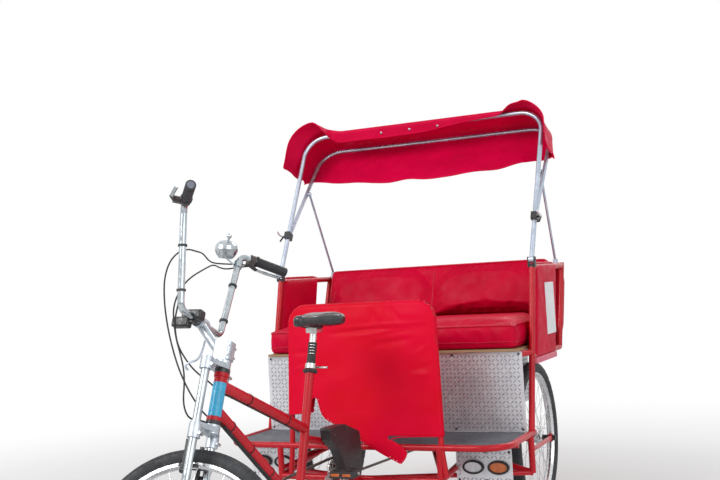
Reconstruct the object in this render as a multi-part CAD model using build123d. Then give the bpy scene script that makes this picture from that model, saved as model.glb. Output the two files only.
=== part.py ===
from build123d import *
import os
from math import acos, atan2, cos, pi, radians, sin, sqrt, tan

# A cycle rickshaw: a pedal tricycle whose rear half is an open cab with a bench and a hood.
# Millimetres. The front of the vehicle faces -Y, its left side is +X, and Z is up from the floor.
# Everything is drawn with the rear axle at Y = 0, then moved back by rear_axle_y at the end.

rear_axle_y = 888.66
seam = 0.3
running_gap = 0.05

# Wheels
wheel_radius = 335.0
tyre_section = 54.0
front_wheel_radius = 321.0
front_tyre_section = 48.0
rim_width = 31.0
rim_depth = 16.0
spoke_count = 36
spoke_radius = 1.3
spoke_cross_angle = 62.0
rear_wheel_x = 497.0
rear_hub_radius = 24.0
rear_hub_half = 36.0
rear_axle_radius = 8.5
outer_stay_x = 568.0
outer_stay_front_z = 359.0
front_hub_radius = 17.0
front_hub_half = 47.0
front_axle_radius = 5.0

# Steering, drawn about its own axis, then leaned back and turned
head_y = -1770.0
head_z = 742.0
head_tilt = 23.0
rest_turn = 80.0
bar_twist = 6.0
head_tube_length = 150.0
head_tube_radius = 20.0
steerer_radius = 14.3
headset_height = 13.0
headset_radius = 23.0
crown_height = 28.0
crown_radius = 24.0
crown_web = 16.0
upper_crown_drop = 20.0
lower_crown_drop = 28.0
leg_half_spacing = 70.0
leg_forward = 24.0
leg_radius = 12.7
axle_forward = 24.0
stem_clamp_height = 58.0
stem_reach = 107.0
stem_rise = 242.0
bar_radius = 11.1
bar_base_half = 131.0
bar_riser_height = 320.0
bar_riser_out = 70.0
bar_riser_forward = 15.0
bar_bend = 32.0
grip_out = 145.0
grip_back = 107.0
grip_drop = 7.0
grip_length = 122.0
grip_radius = 16.0
bell_x = -150.0
bell_y = -152.0
bell_z = 566.0
bell_radius = 40.0
bell_height = 62.0
cable_radius = 2.6

# Front frame and saddle
frame_tube_radius = 17.5
seat_tube_radius = 15.9
seatpost_radius = 12.7
bracket_y = -1300.0
bracket_z = 305.0
bracket_shell_radius = 21.0
bracket_shell_half = 35.0
seat_tilt = 17.6
seat_tube_top_z = 765.0
top_tube_seat_z = 558.0
stay_seat_z = 525.0
saddle_top_z = 968.0
saddle_length = 262.0
saddle_width = 176.0
saddle_nose_width = 44.0
saddle_depth = 50.0
saddle_behind_line = 122.0

# Cranks and drive
tooth_pitch = 12.7
crank_length = 170.0
crank_angle = 31.0
crank_inner_x = 56.0
crank_thickness = 13.0
spindle_radius = 8.5
pedal_axle_radius = 5.0
chainring_radius = 88.0
chainring_x = -45.0
chain_width = 8.0
chain_height = 9.0
pedal_length = 92.0
pedal_width = 78.0
pedal_height = 24.0
counter_y = -935.0
counter_z = 360.0
counter_front_radius = 38.0
counter_rear_radius = 30.0
rear_sprocket_radius = 40.0
rear_chain_x = -30.0
gear_case_half = 40.0

# Deck and chassis
cab_tube_radius = 12.7
post_x = 603.0
deck_top_z = 430.0
deck_front_y = -800.0
deck_corner = 110.0
deck_thickness = 10.0
rim_rise = 7.0
lower_rail_z = 300.0
lower_rail_x = 345.0
rail_back_y = 95.0
rail_back_z = 402.0
cross_y = -446.0

# Cab
post_foot_y = -425.0
post_top_y = -262.0
arm_z = 1090.0
back_foot_y = 118.0
back_top_y = 255.0
panel_low_z = 725.0
back_leg_x = 402.0
seat_rail_x = 436.0
box_gap = 15.0
wheel_gap = 12.0
box_front_y = -443.0
sheet = 3.0
seat_base_z = 755.0
board_thickness = 10.0
cushion_top_z = 880.0
cushion_gap = 25.0
cushion_front_y = -468.0
cushion_back_y = 92.0
back_pad_thickness = 68.0
back_pad_top_z = 1128.0
side_panel_back_top_y = 105.0
side_panel_back_low_y = 5.0
skin = 4.0

# Apron behind the saddle
apron_left_foot_x = 354.0
apron_left_top_x = 331.0
apron_right_x = -288.0
apron_top_y = -745.0
apron_top_z = 972.0
apron_low_z = 468.0
apron_right_low_z = 548.0
apron_notch_x = -178.0
apron_notch_z = 614.0
apron_tip_x = 196.0
apron_tip_z = 366.0
apron_hem_x = 122.0
apron_tube_radius = 11.0
apron_corner = 62.0

# Lamp valances under the front of the deck
valance_y = -640.0
valance_inner_x = 352.0
valance_outer_x = 578.0
valance_top_z = 396.0
valance_low_z = 262.0
clear_lamp_x = 422.0
amber_lamp_x = 524.0
front_lamp_z = 325.0
front_lamp_half = 37.0
front_lamp_height = 42.0

# Hood
hood_pin_y = -262.0
hood_pin_z = 1122.0
hood_x = 603.0
hood_lean = 27.5
rear_bow_lean = 44.0
clamp_z = 1305.0
hood_tube_radius = 10.5
front_bow_top_z = 1800.0
rear_bow_top_z = 1742.0
bow_corner = 110.0
hood_pin_radius = 4.0
strut_radius = 6.0
strut_foot_in = 25.0
strut_top_in = 17.0
strut_foot_y = 250.0
strut_below_bow = 225.0
cover_low_below = 162.0
cover_side_below = 160.0
cover_wall = 4.0
cover_band_drop = 38.0
cover_band_half = 420.0

# Rear axle and tail
axle_z = wheel_radius
axle_tube_radius = 22.0
axle_spacer = 24.0
differential_radius = 58.0
differential_half = 62.0
axle_pad_z = 372.0
tail_plate_half = 430.0
tail_plate_low_z = 585.0
tail_lamp_x = 330.0
tail_lamp_z = 650.0


def rod(start, end, radius):
    """Straight round bar between two points."""
    start = Vector(*start)
    end = Vector(*end)
    base = Plane(origin=start, z_dir=end - start)
    return extrude(base * Circle(radius), (end - start).length)


def bent_tube(points, radius, bends):
    """Round bar along straight runs with rounded corners."""
    path = FilletPolyline(*points, radius=bends)
    return sweep(Plane(origin=path @ 0, z_dir=path % 0) * Circle(radius), path=path)


def block(low, high):
    """Box between two opposite corners."""
    size = [high[i] - low[i] for i in range(3)]
    middle = [(high[i] + low[i]) / 2 for i in range(3)]
    return Pos(*middle) * Box(*size)


def x_cylinder(x, y, z, radius, length):
    """Cylinder along X, centred at a point."""
    return Pos(x, y, z) * Rot(0, 90, 0) * Cylinder(radius, length)


def x_prism(outline, x_low, x_high):
    """Prism along X from corners given as (y, z)."""
    face = Plane.YZ.offset(x_low) * make_face(Polyline(*outline, close=True))
    return extrude(face, x_high - x_low)


def both_sides(solid):
    """A piece and its mirror copy on the other side."""
    return solid + mirror(solid, about=Plane.YZ)


def head_place(turn=0.0):
    """Frame of the steering axis: x left, -y forward, z up along the steerer."""
    return Pos(0, head_y, head_z) * Rot(-head_tilt, 0, 0) * Rot(0, 0, turn)


def turned():
    """Frame of the steering at rest, turned to the right on its stop."""
    return head_place(-rest_turn)


def bars_place():
    """Frame of the stem and bars, which are clamped a little off the wheel's line."""
    return turned() * Rot(0, 0, -bar_twist)


def seat_line_y(z):
    """Y of the seat tube's axis at a height."""
    return bracket_y + (z - bracket_z) * tan(radians(seat_tilt))


def seat_place(z):
    """Frame on the seat tube's axis at a height, z up along the tube."""
    return Pos(0, seat_line_y(z), z) * Rot(-seat_tilt, 0, 0)


def post_y(z):
    """Y of the leaning front post's axis at a height."""
    return post_foot_y + (post_top_y - post_foot_y) * (z - deck_top_z) / (arm_z - deck_top_z)


def back_y(z):
    """Y of the leaning back frame's axis at a height."""
    return back_foot_y + (back_top_y - back_foot_y) * (z - panel_low_z) / (arm_z - panel_low_z)


def axle_drop():
    """Distance down the steering axis to the front axle, with the turned wheel on the floor."""
    tilt = radians(head_tilt)
    turn = radians(rest_turn)
    lean = sin(turn) * sin(tilt)
    ring = front_wheel_radius - front_tyre_section / 2
    middle_z = ring * sqrt(1 - lean * lean) + front_tyre_section / 2
    return (head_z + axle_forward * cos(turn) * sin(tilt) - middle_z) / cos(tilt)


def tyre_seat(radius, section):
    """Radius of the rim's bed, where the tyre sits."""
    return radius - section + 6


def front_wheel_place():
    """Frame of the front wheel's centre, axle along x."""
    return turned() * Pos(0, -axle_forward, -axle_drop())


# Wheels

def tyre(radius, section):
    """Round tyre with a flat seat."""
    ring = radius - section / 2
    seat = tyre_seat(radius, section) + seam
    profile = Pos(0, ring) * Circle(section / 2)
    profile -= Pos(0, seat - section) * Rectangle(2 * section, 2 * section)
    return revolve(profile, Axis.X)


def laced_wheel(seat, hub_radius, hub_half, bore_radius):
    """Rim, crossed spokes and flanged hub."""
    flange_radius = hub_radius + 13
    flange_x = hub_half - 10
    rim_outline = Polyline(
        (-rim_width / 2, seat),
        (rim_width / 2, seat),
        (rim_width / 2, seat - rim_depth * 0.6),
        (5, seat - rim_depth),
        (-5, seat - rim_depth),
        (-rim_width / 2, seat - rim_depth * 0.6),
        close=True,
    )
    hub_outline = Polyline(
        (-hub_half, bore_radius),
        (-hub_half, hub_radius * 0.75),
        (-flange_x - 3, hub_radius),
        (-flange_x - 2, flange_radius),
        (-flange_x + 2, flange_radius),
        (-flange_x + 4, hub_radius),
        (flange_x - 4, hub_radius),
        (flange_x - 2, flange_radius),
        (flange_x + 2, flange_radius),
        (flange_x + 3, hub_radius),
        (hub_half, hub_radius * 0.75),
        (hub_half, bore_radius),
        close=True,
    )
    rim = revolve(make_face(rim_outline), Axis.X)
    hub = revolve(make_face(hub_outline), Axis.X)
    spokes = []
    outer_radius = seat - rim_depth + 3
    inner_radius = flange_radius - 3
    for i in range(spoke_count):
        side = 1 if i % 2 else -1
        cross = spoke_cross_angle if i % 4 < 2 else -spoke_cross_angle
        outer_angle = radians(i * 360 / spoke_count)
        inner_angle = outer_angle + radians(cross)
        inner = (side * flange_x, inner_radius * cos(inner_angle), inner_radius * sin(inner_angle))
        outer = (side * 3, outer_radius * cos(outer_angle), outer_radius * sin(outer_angle))
        spokes.append(rod(inner, outer, spoke_radius))
    return rim.fuse(hub, *spokes)


# Front frame, saddle and drive

def front_frame():
    """Head, top, down and seat tubes, bottom bracket shell and two stays to the deck."""
    place = head_place()
    half = head_tube_length / 2
    bracket = (0, bracket_y, bracket_z)
    top_start = tuple((place * Pos(0, 0, half - 36)).position)
    down_start = tuple((place * Pos(0, 0, 36 - half)).position)
    frame = place * Cylinder(head_tube_radius, head_tube_length)
    for end in (-1, 1):
        frame += place * Pos(0, 0, end * (half - 6)) * Cylinder(head_tube_radius + 3, 12)
    frame += rod(top_start, (0, seat_line_y(top_tube_seat_z), top_tube_seat_z), frame_tube_radius)
    frame += rod(down_start, bracket, frame_tube_radius)
    frame += rod(bracket, (0, seat_line_y(seat_tube_top_z), seat_tube_top_z), seat_tube_radius)
    frame += x_cylinder(0, bracket_y, bracket_z, bracket_shell_radius, 2 * bracket_shell_half)
    frame += rod(bracket, (0, deck_front_y, lower_rail_z), frame_tube_radius)
    frame += rod((0, seat_line_y(stay_seat_z), stay_seat_z), (0, deck_front_y, rim_z()), frame_tube_radius - 3)
    frame -= place * Cylinder(steerer_radius + running_gap, head_tube_length + 60)
    frame -= x_cylinder(0, bracket_y, bracket_z, spindle_radius + running_gap, 200)
    frame -= seat_place(seat_tube_top_z) * Pos(0, 0, -60) * Cylinder(seatpost_radius + seam, 140)
    frame -= front_cross_tubes(seam)
    return frame


def seatpost():
    """Post in the seat tube with the saddle clamp on top."""
    top = saddle_top_z - saddle_depth
    length = (top - seat_tube_top_z) / cos(radians(seat_tilt)) + 110
    place = seat_place(seat_tube_top_z)
    post = place * Pos(0, 0, length / 2 - 120) * Cylinder(seatpost_radius, length)
    head_y_place = seat_line_y(top - 12)
    return post + block((-22, head_y_place - 22, top - 24), (22, head_y_place + 26, top - seam))


def seat_collar():
    """Quick-release collar and boot ring round the seatpost."""
    place = seat_place(seat_tube_top_z)
    collar = place * Pos(0, 0, 9 + seam) * Cylinder(seat_tube_radius + 4, 18)
    collar += place * Pos(0, 22, 9 + seam) * Box(16, 18, 14)
    collar += place * Pos(26, 22, 9 + seam) * Rot(0, 90, 0) * Cylinder(4, 62)
    return collar - place * Cylinder(seatpost_radius + seam, 200)


def seatpost_boot():
    """Short rubber boot above the collar."""
    place = seat_place(seat_tube_top_z)
    boot = place * Pos(0, 0, 36 + seam) * Cylinder(seatpost_radius + 3, 34)
    return boot - place * Cylinder(seatpost_radius + seam, 200)


def saddle_back_y():
    """Y of the saddle's back edge, set off the seat tube's line."""
    return seat_line_y(saddle_top_z - saddle_depth) + saddle_behind_line


def saddle_slice(along, half_width, top, low):
    """Rounded section across the saddle at a distance ahead of its back edge."""
    crown = (top - low) * 0.3
    face = make_face([
        Spline((-half_width, low), (-half_width * 0.98, low + (top - low) * 0.55), (-half_width * 0.5, top - crown * 0.25),
               (0, top), (half_width * 0.5, top - crown * 0.25), (half_width * 0.98, low + (top - low) * 0.55),
               (half_width, low)),
        Line((half_width, low), (-half_width, low)),
    ])
    return Plane(origin=(0, saddle_back_y() - along, saddle_top_z), x_dir=(1, 0, 0), z_dir=(0, -1, 0)) * face


def saddle():
    """Padded saddle: two broad lobes behind that draw in to a narrow nose."""
    half = saddle_width / 2
    nose = saddle_nose_width / 2
    slices = [
        (4, half * 0.72, -12, -saddle_depth * 0.72),
        (34, half * 0.98, -1, -saddle_depth * 0.98),
        (78, half * 0.97, 0, -saddle_depth),
        (128, half * 0.66, -5, -saddle_depth * 0.86),
        (178, nose * 1.25, -7, -saddle_depth * 0.8),
        (228, nose * 1.05, -5, -saddle_depth * 0.8),
        (saddle_length - 6, nose * 0.8, -9, -saddle_depth * 0.7),
    ]
    return loft([saddle_slice(*row) for row in slices])


def toothed(radius, thickness):
    """Sprocket disc with one tooth for each pitch of the chain, axis along z."""
    count = round(2 * pi * radius / tooth_pitch)
    root = radius - 4
    disc = Cylinder(root, thickness)
    teeth = [Rot(0, 0, i * 360 / count) * Pos(root, 0, 0) * Rot(0, 0, 45) * Box(5.6, 5.6, thickness) for i in range(count)]
    return disc.fuse(*teeth)


def crankset():
    """Chainring, spindle and both crank arms with their pedal axles."""
    ring = toothed(chainring_radius, 4) - Cylinder(chainring_radius - 22, 10)
    ring += Cylinder(30, 4)
    for i in range(5):
        ring += Rot(0, 0, i * 72) * Pos(chainring_radius / 2, 0, 0) * Box(chainring_radius - 18, 14, 4)
    parts = Pos(chainring_x, 0, 0) * Rot(0, 90, 0) * ring
    parts += x_cylinder(0, 0, 0, spindle_radius, 2 * (crank_inner_x + 4))
    for side, turn in ((1, crank_angle), (-1, crank_angle + 180)):
        middle = side * (crank_inner_x + crank_thickness / 2)
        axle_end = side * (crank_inner_x + crank_thickness + pedal_length + 12)
        arm = x_cylinder(middle, 0, 0, 17, crank_thickness)
        arm += x_cylinder(middle, crank_length, 0, 13, crank_thickness)
        outline = [(0, -14), (crank_length, -10), (crank_length, 10), (0, 14)]
        arm += x_prism(outline, middle - crank_thickness / 2, middle + crank_thickness / 2)
        arm += rod((middle, crank_length, 0), (axle_end, crank_length, 0), pedal_axle_radius)
        parts += Rot(turn, 0, 0) * arm
    return Pos(0, bracket_y, bracket_z) * parts


def pedal_place(side):
    """Centre of a pedal's axle: the left one is up and back, the right one down and forward."""
    angle = radians(crank_angle)
    middle = side * (crank_inner_x + crank_thickness + 3 + pedal_length / 2)
    return Pos(middle, bracket_y + side * crank_length * cos(angle), bracket_z + side * crank_length * sin(angle))


def pedal(side):
    """Flat pedal with an open cage."""
    body = Box(pedal_length, pedal_width, pedal_height)
    body = fillet(body.edges().filter_by(Axis.Z), 9)
    body -= both_sides(Pos(pedal_length / 4 + 2, pedal_width / 4 + 2, 0) * Box(26, 18, 60))
    body -= both_sides(Pos(pedal_length / 4 + 2, -pedal_width / 4 - 2, 0) * Box(26, 18, 60))
    body -= Rot(0, 90, 0) * Cylinder(pedal_axle_radius + running_gap, pedal_length + 10)
    return pedal_place(side) * body


def belt_outline(first, first_radius, second, second_radius):
    """Face of a belt's full outline round two circles, in the Y-Z plane at x = 0."""
    dy = second[0] - first[0]
    dz = second[1] - first[1]
    distance = sqrt(dy * dy + dz * dz)
    heading = atan2(dz, dy)
    spread = acos((first_radius - second_radius) / distance)
    corners = []
    for centre, radius, sign in ((first, first_radius, 1), (second, second_radius, 1),
                                 (second, second_radius, -1), (first, first_radius, -1)):
        angle = heading + sign * spread
        corners.append((centre[0] + radius * cos(angle), centre[1] + radius * sin(angle)))
    face = Plane.YZ * make_face(Polyline(*corners, close=True))
    for centre, radius in ((first, first_radius), (second, second_radius)):
        face += Plane.YZ * Pos(*centre) * Circle(radius)
    return face


def chain(first, first_radius, second, second_radius, x):
    """Closed loop of chain round two sprockets."""
    outer = belt_outline(first, first_radius + chain_height / 2, second, second_radius + chain_height / 2)
    inner = belt_outline(first, first_radius - chain_height / 2, second, second_radius - chain_height / 2)
    loop = extrude(outer, chain_width / 2, both=True) - extrude(inner, chain_width, both=True)
    return Pos(x, 0, 0) * loop


def front_chain():
    """Chain from the cranks to the countershaft."""
    return chain((bracket_y, bracket_z), chainring_radius + chain_height / 2 + 1,
                 (counter_y, counter_z), counter_front_radius + chain_height / 2 + 1, chainring_x)


def rear_chain():
    """Chain from the countershaft to the rear axle."""
    return chain((counter_y, counter_z), counter_rear_radius + chain_height / 2 + 1,
                 (0, axle_z), rear_sprocket_radius + chain_height / 2 + 1, rear_chain_x)


def countershaft():
    """Sprocket cluster and its hanger between the two chains."""
    stay_z = bracket_z + (lower_rail_z - bracket_z) * (counter_y - bracket_y) / (deck_front_y - bracket_y)
    spot = Pos(0, counter_y, counter_z) * Rot(0, 90, 0)
    parts = Pos(chainring_x, 0, 0) * spot * toothed(counter_front_radius, 4)
    parts += Pos(rear_chain_x, 0, 0) * spot * toothed(counter_rear_radius, 4)
    parts += x_cylinder(-20, counter_y, counter_z, 9, 74)
    parts += x_cylinder(-33, counter_y, counter_z, 20, 20)
    for x in (-4, 8):
        parts += block((x, counter_y - 20, stay_z), (x + 5, counter_y + 20, counter_z + 16))
    return parts - rod((0, bracket_y, bracket_z), (0, deck_front_y, lower_rail_z), frame_tube_radius + seam)


def gear_case():
    """Black moulded case over the countershaft, between the seat tube and the deck."""
    outline = [(counter_y - 62, counter_z - 20), (counter_y - 130, 455), (counter_y - 196, 505), (counter_y - 206, 548),
               (counter_y - 80, 545), (counter_y + 44, 500), (counter_y + 60, counter_z + 30), (counter_y + 40, counter_z - 26)]
    inner_x = 17 + seam
    case = x_prism(outline, inner_x, inner_x + gear_case_half)
    return fillet(case.edges().filter_by(Axis.X), 9)


def beside_tube(start, end, share, drop):
    """Point beside a tube in the middle plane: a share of the way along it and a drop below its axis."""
    dy = end[1] - start[1]
    dz = end[2] - start[2]
    length = sqrt(dy * dy + dz * dz)
    return (start[1] + dy * share + drop * dz / length, start[2] + dz * share - drop * dy / length)


def frame_cables():
    """Gear and brake cables along the undersides of the top tube and the down tube."""
    half = head_tube_length / 2
    place = head_place()
    top_start = tuple((place * Pos(0, 0, half - 36)).position)
    down_start = tuple((place * Pos(0, 0, 36 - half)).position)
    top_end = (0, seat_line_y(top_tube_seat_z), top_tube_seat_z)
    gap = frame_tube_radius + cable_radius + seam
    y0, z0 = beside_tube(top_start, top_end, 0.12, gap)
    y1, z1 = beside_tube(top_start, top_end, 0.93, gap)
    parts = rod((0, y0, z0), (0, y1, z1), cable_radius)
    bracket = (0, bracket_y, bracket_z)
    for x in (-6, 0, 6):
        drop = sqrt(gap * gap - x * x) + 0.2
        y0, z0 = beside_tube(down_start, bracket, 0.1, drop)
        y1, z1 = beside_tube(down_start, bracket, 0.93, drop)
        parts += rod((x, y0, z0), (x, y1, z1), cable_radius)
    return parts


def cable(points):
    """Cable along straight runs joined by arcs, each as wide as its shorter run allows."""
    corners = [Vector(*point) for point in points]
    bends = []
    for before, here, after in zip(corners, corners[1:], corners[2:]):
        first = here - before
        second = after - here
        turn = radians(first.get_angle(second))
        bends.append(min(0.45 * min(first.length, second.length) / tan(turn / 2), 1500))
    print("cable bends", [round(bend) for bend in bends])
    path = FilletPolyline(*corners, radius=bends)
    return sweep(Plane(origin=path @ 0, z_dir=path % 0) * Circle(cable_radius), path=path)


def bar_cables():
    """Cables from the levers to the head tube, in the steering's frame."""
    far_gear = [(-239.7, -93.5, 539.6), (-219, -136, 538), (-203, -172, 533), (-165, -206, 522), (-112, -194, 512), (-65, -178, 505), (-20, -164, 497), (35, -157, 480), (90, -149, 463),
                (130, -158, 435), (136, -179, 398), (128, -190, 344), (112, -186, 282), (96, -176, 226), (84, -158, 168),
                (72, -134, 108), (62, -108, 56), (52, -74, 4), (40, -44, -34)]
    far_brake = [(-243, -98, 539.6), (-226, -132, 530), (-196, -166, 510), (-150, -168, 498), (-105, -154, 486), (-60, -142, 469), (-20, -136, 442), (20, -130, 414),
                 (60, -131, 381), (90, -136, 345), (104, -146, 300), (104, -152, 254), (98, -142, 205), (92, -128, 158),
                 (88, -106, 112), (85, -84, 62), (85, -72, 12), (84, -68, -30), (74, -62, -62), (54, -52, -84)]
    near_gear = [(126, -124, 300), (116, -128, 268), (105, -138, 221), (84, -140, 180), (64, -132, 140), (52, -100, 98),
                 (44, -66, 66)]
    routes = [far_gear, far_brake, near_gear]
    solids = [cable(route) for route in routes]
    points = bar_points()
    run = (Vector(*points[1]) - Vector(*points[2])).normalized()
    start = Vector(*near_gear[0])
    foot = Vector(*points[2]) + run * (start - Vector(*points[2])).dot(run)
    clip_end = foot + (start - foot).normalized() * (bar_radius + seam)
    clip = rod(tuple(clip_end), tuple(start), 3.2)
    return bars_place() * (solids[0] + solids[1] + solids[2] + clip)


# Chassis and cab

def rim_z():
    """Height of the deck rim's axis."""
    return deck_top_z + rim_rise - cab_tube_radius


def under_deck_z():
    """Height of the axis of a tube that the deck lies on."""
    return deck_top_z - deck_thickness - cab_tube_radius - seam


def deck_rim(grow=0.0):
    """Tube loop round the front and sides of the deck."""
    ends = cross_y + 50
    points = [(post_x, ends, rim_z()), (post_x, deck_front_y, rim_z()),
              (-post_x, deck_front_y, rim_z()), (-post_x, ends, rim_z())]
    return bent_tube(points, cab_tube_radius + grow, deck_corner)


def front_cross_tubes(grow=0.0):
    """The rim's front run and the lower cross tube, which the front frame is welded to."""
    low = rod((-lower_rail_x, deck_front_y, lower_rail_z), (lower_rail_x, deck_front_y, lower_rail_z),
              cab_tube_radius + grow)
    half = lower_rail_x - 45
    high = rod((-half, deck_front_y, rim_z()), (half, deck_front_y, rim_z()), cab_tube_radius + grow)
    return low + high


def rail_z(y):
    """Height of the lower side rail's axis at a Y."""
    return lower_rail_z + (rail_back_z - lower_rail_z) * (y - deck_front_y) / (rail_back_y - deck_front_y)


def chassis(grow=0.0):
    """Deck rim, side rails, braces under the deck and the rear axle's pads."""
    radius = cab_tube_radius + grow
    thin = radius - 3
    low_z = lower_rail_z - 30
    parts = deck_rim(grow) + front_cross_tubes(grow)
    side = rod((lower_rail_x, deck_front_y, rim_z()), (lower_rail_x, deck_front_y, lower_rail_z), radius)
    side += rod((lower_rail_x, deck_front_y, lower_rail_z), (lower_rail_x, rail_back_y, rail_back_z), radius)
    side += rod((post_x, cross_y, rim_z()), (post_x, cross_y, low_z), radius)
    side += rod((post_x, cross_y, low_z), (lower_rail_x, cross_y, rail_z(cross_y)), radius)
    side += rod((post_x, cross_y, low_z), (0, deck_front_y, lower_rail_z), thin)
    side += rod((lower_rail_x / 2, cross_y, under_deck_z()), (lower_rail_x, deck_front_y, lower_rail_z + 30), thin)
    side += rod((lower_rail_x, cross_y, under_deck_z()), (lower_rail_x, cross_y, rail_z(cross_y)), radius)
    side += rod((post_x, cross_y, outer_stay_front_z), (outer_stay_x, 0, axle_z), thin)
    side += x_cylinder(outer_stay_x, 0, axle_z, 19, 12)
    side -= x_cylinder(outer_stay_x, 0, axle_z, rear_axle_radius + seam, 40)
    for end in (-1, 1):
        side -= x_cylinder(outer_stay_x + end * 31, 0, axle_z, 13 + 2 * seam, 50)
    parts += both_sides(side)
    parts += rod((-post_x, cross_y, under_deck_z()), (post_x, cross_y, under_deck_z()), radius)
    middle_y = (deck_front_y + cross_y) / 2
    parts += rod((-post_x, middle_y, under_deck_z()), (post_x, middle_y, under_deck_z()), thin)
    parts += rod((-lower_rail_x, rail_back_y, rail_back_z), (lower_rail_x, rail_back_y, rail_back_z), radius)
    parts += both_sides(block((lower_rail_x - 22, -24, axle_pad_z), (lower_rail_x + 22, 24, rail_z(0))))
    return parts


def deck():
    """Rubber-topped floor inside the rim, notched round the apron's legs."""
    inset = cab_tube_radius + 1
    half = post_x - inset
    front = deck_front_y + inset
    back = box_front_y - sheet - seam
    plate = block((-half, front, deck_top_z - deck_thickness), (half, back, deck_top_z))
    corners = plate.edges().filter_by(Axis.Z).sort_by(Axis.Y)[:2]
    plate = fillet(corners, deck_corner - inset)
    return plate - both_sides(rod((post_x, post_foot_y, deck_top_z - 80), (post_x, post_foot_y, deck_top_z + 20), 30))


def seat_rail_z():
    """Height of the axis of the seat rails."""
    return seat_base_z - cab_tube_radius - seam


def cab_side(grow=0.0):
    """Left post, arm rail and back leg as one mitred tube."""
    points = [(post_x, post_y(rim_z()), rim_z()), (post_x, post_top_y, arm_z),
              (post_x, back_top_y, arm_z), (post_x, back_foot_y, panel_low_z)]
    path = Polyline(*points)
    ring = Plane(origin=path @ 0, z_dir=path % 0) * Circle(cab_tube_radius + grow)
    return sweep(ring, path=path, transition=Transition.RIGHT)


def cab_frame():
    """Front posts, arm rails, leaning back frame and the rails under the seat."""
    radius = cab_tube_radius
    rail_y = box_front_y + radius + seam
    low_post = (post_x, post_y(panel_low_z), panel_low_z)
    low_back = (post_x, back_foot_y, panel_low_z)
    side = cab_side()
    side += rod(low_post, low_back, radius - 0.4)
    side += rod((back_leg_x, back_foot_y, panel_low_z), (back_leg_x - 70, rail_back_y, rail_back_z), radius)
    side += rod((seat_rail_x, rail_y, seat_rail_z()), (seat_rail_x, back_y(seat_rail_z()), seat_rail_z()), radius)
    side += rod((seat_rail_x, rail_y, seat_rail_z()), (seat_rail_x, rail_y, under_deck_z()), radius)
    side += rod((box_half() - 14, rail_y, seat_rail_z()), (post_x, post_y(seat_rail_z()), seat_rail_z()), radius)
    frame = both_sides(side)
    frame += rod((-post_x, back_top_y, arm_z), (post_x, back_top_y, arm_z), radius - 0.2)
    frame += rod((-post_x, back_foot_y, panel_low_z), (post_x, back_foot_y, panel_low_z), radius - 0.2)
    frame += rod((-box_half(), rail_y, seat_rail_z()), (box_half(), rail_y, seat_rail_z()), radius - 0.2)
    return frame - chassis(seam)


def box_half():
    """Half width of the seat box's front, just inside the posts."""
    return post_x - box_gap


def box_side_x():
    """Inner face of the seat box's side sheets, inside the rear tyres."""
    return rear_wheel_x - tyre_section / 2 - wheel_gap - sheet


def cushion_half():
    """Half width of the bench cushion and its board."""
    return post_x - cushion_gap


def seat_box_front():
    """Tread-plate front of the seat box."""
    return block((-box_half(), box_front_y - sheet, deck_top_z + seam), (box_half(), box_front_y, seat_base_z - 2))


def seat_box_sides():
    """Sheet sides of the seat box, inside the wheels."""
    low = deck_top_z + 60
    back = back_foot_y - cab_tube_radius - seam
    top = seat_rail_z() - cab_tube_radius - seam
    side = block((box_side_x(), box_front_y + seam, low), (box_side_x() + sheet, back, top))
    return both_sides(side)


def seat_board():
    """Board that the cushion lies on."""
    back = back_foot_y - cab_tube_radius - 2
    return block((-cushion_half(), cushion_front_y + 8, seat_base_z), (cushion_half(), back, seat_base_z + board_thickness))


def seat_cushion():
    """Bench cushion with rounded edges."""
    low = seat_base_z + board_thickness + seam
    pad = block((-cushion_half(), cushion_front_y, low), (cushion_half(), cushion_back_y, cushion_top_z))
    return fillet(pad.edges().filter_by(Axis.X).sort_by(Axis.Z)[-2:], 26)


def seat_back():
    """Leaning back pad in front of the back frame."""
    gap = cab_tube_radius + 1.5
    low = cushion_top_z + 1
    outline = [(back_y(low) - gap, low), (back_y(back_pad_top_z) - gap, back_pad_top_z),
               (back_y(back_pad_top_z) - gap - back_pad_thickness, back_pad_top_z),
               (back_y(low) - gap - back_pad_thickness, low)]
    half = cushion_half() - 16
    pad = x_prism(outline, -half, half)
    return fillet(pad.edges().filter_by(Axis.X).sort_by(Axis.Z)[-2:], 22)


def side_panel():
    """Padded vinyl panel folded over the arm rail, left side."""
    gap = cab_tube_radius + seam
    low = panel_low_z - 16
    top = arm_z + gap + skin
    front = gap + 2
    outline = [(post_y(low) + front, low), (post_y(top) + front, top),
               (side_panel_back_top_y, top), (side_panel_back_low_y, low)]
    panel = x_prism(outline, post_x - gap - skin, post_x + gap + skin)
    hollow = [(-900, low - 10), (-900, top - skin), (900, top - skin), (900, low - 10)]
    return panel - x_prism(hollow, post_x - gap, post_x + gap)


def side_sign():
    """Blank white sheet on the left panel."""
    face_x = post_x + cab_tube_radius + seam + skin
    low = panel_low_z + 75
    high = arm_z - 68
    front = post_y(high) + 134
    return block((face_x + seam, front, low), (face_x + seam + 2, front + 146, high))


def back_panel():
    """Outer back of the cab, one sheet with a rolled top edge."""
    lean = atan2(back_top_y - back_foot_y, arm_z - panel_low_z)
    gap = (cab_tube_radius + seam) / cos(lean)
    low = panel_low_z + 4
    top = arm_z + 16
    outline = [(back_y(low) + gap, low), (back_y(top) + gap, top),
               (back_y(top) + gap + skin, top), (back_y(low) + gap + skin, low)]
    return x_prism(outline, -post_x - 10, post_x + 10)


def tail_plate():
    """Plate below the back panel."""
    face = back_foot_y + cab_tube_radius + seam
    return block((-tail_plate_half, face, tail_plate_low_z), (tail_plate_half, face + sheet, panel_low_z - 2))


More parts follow.
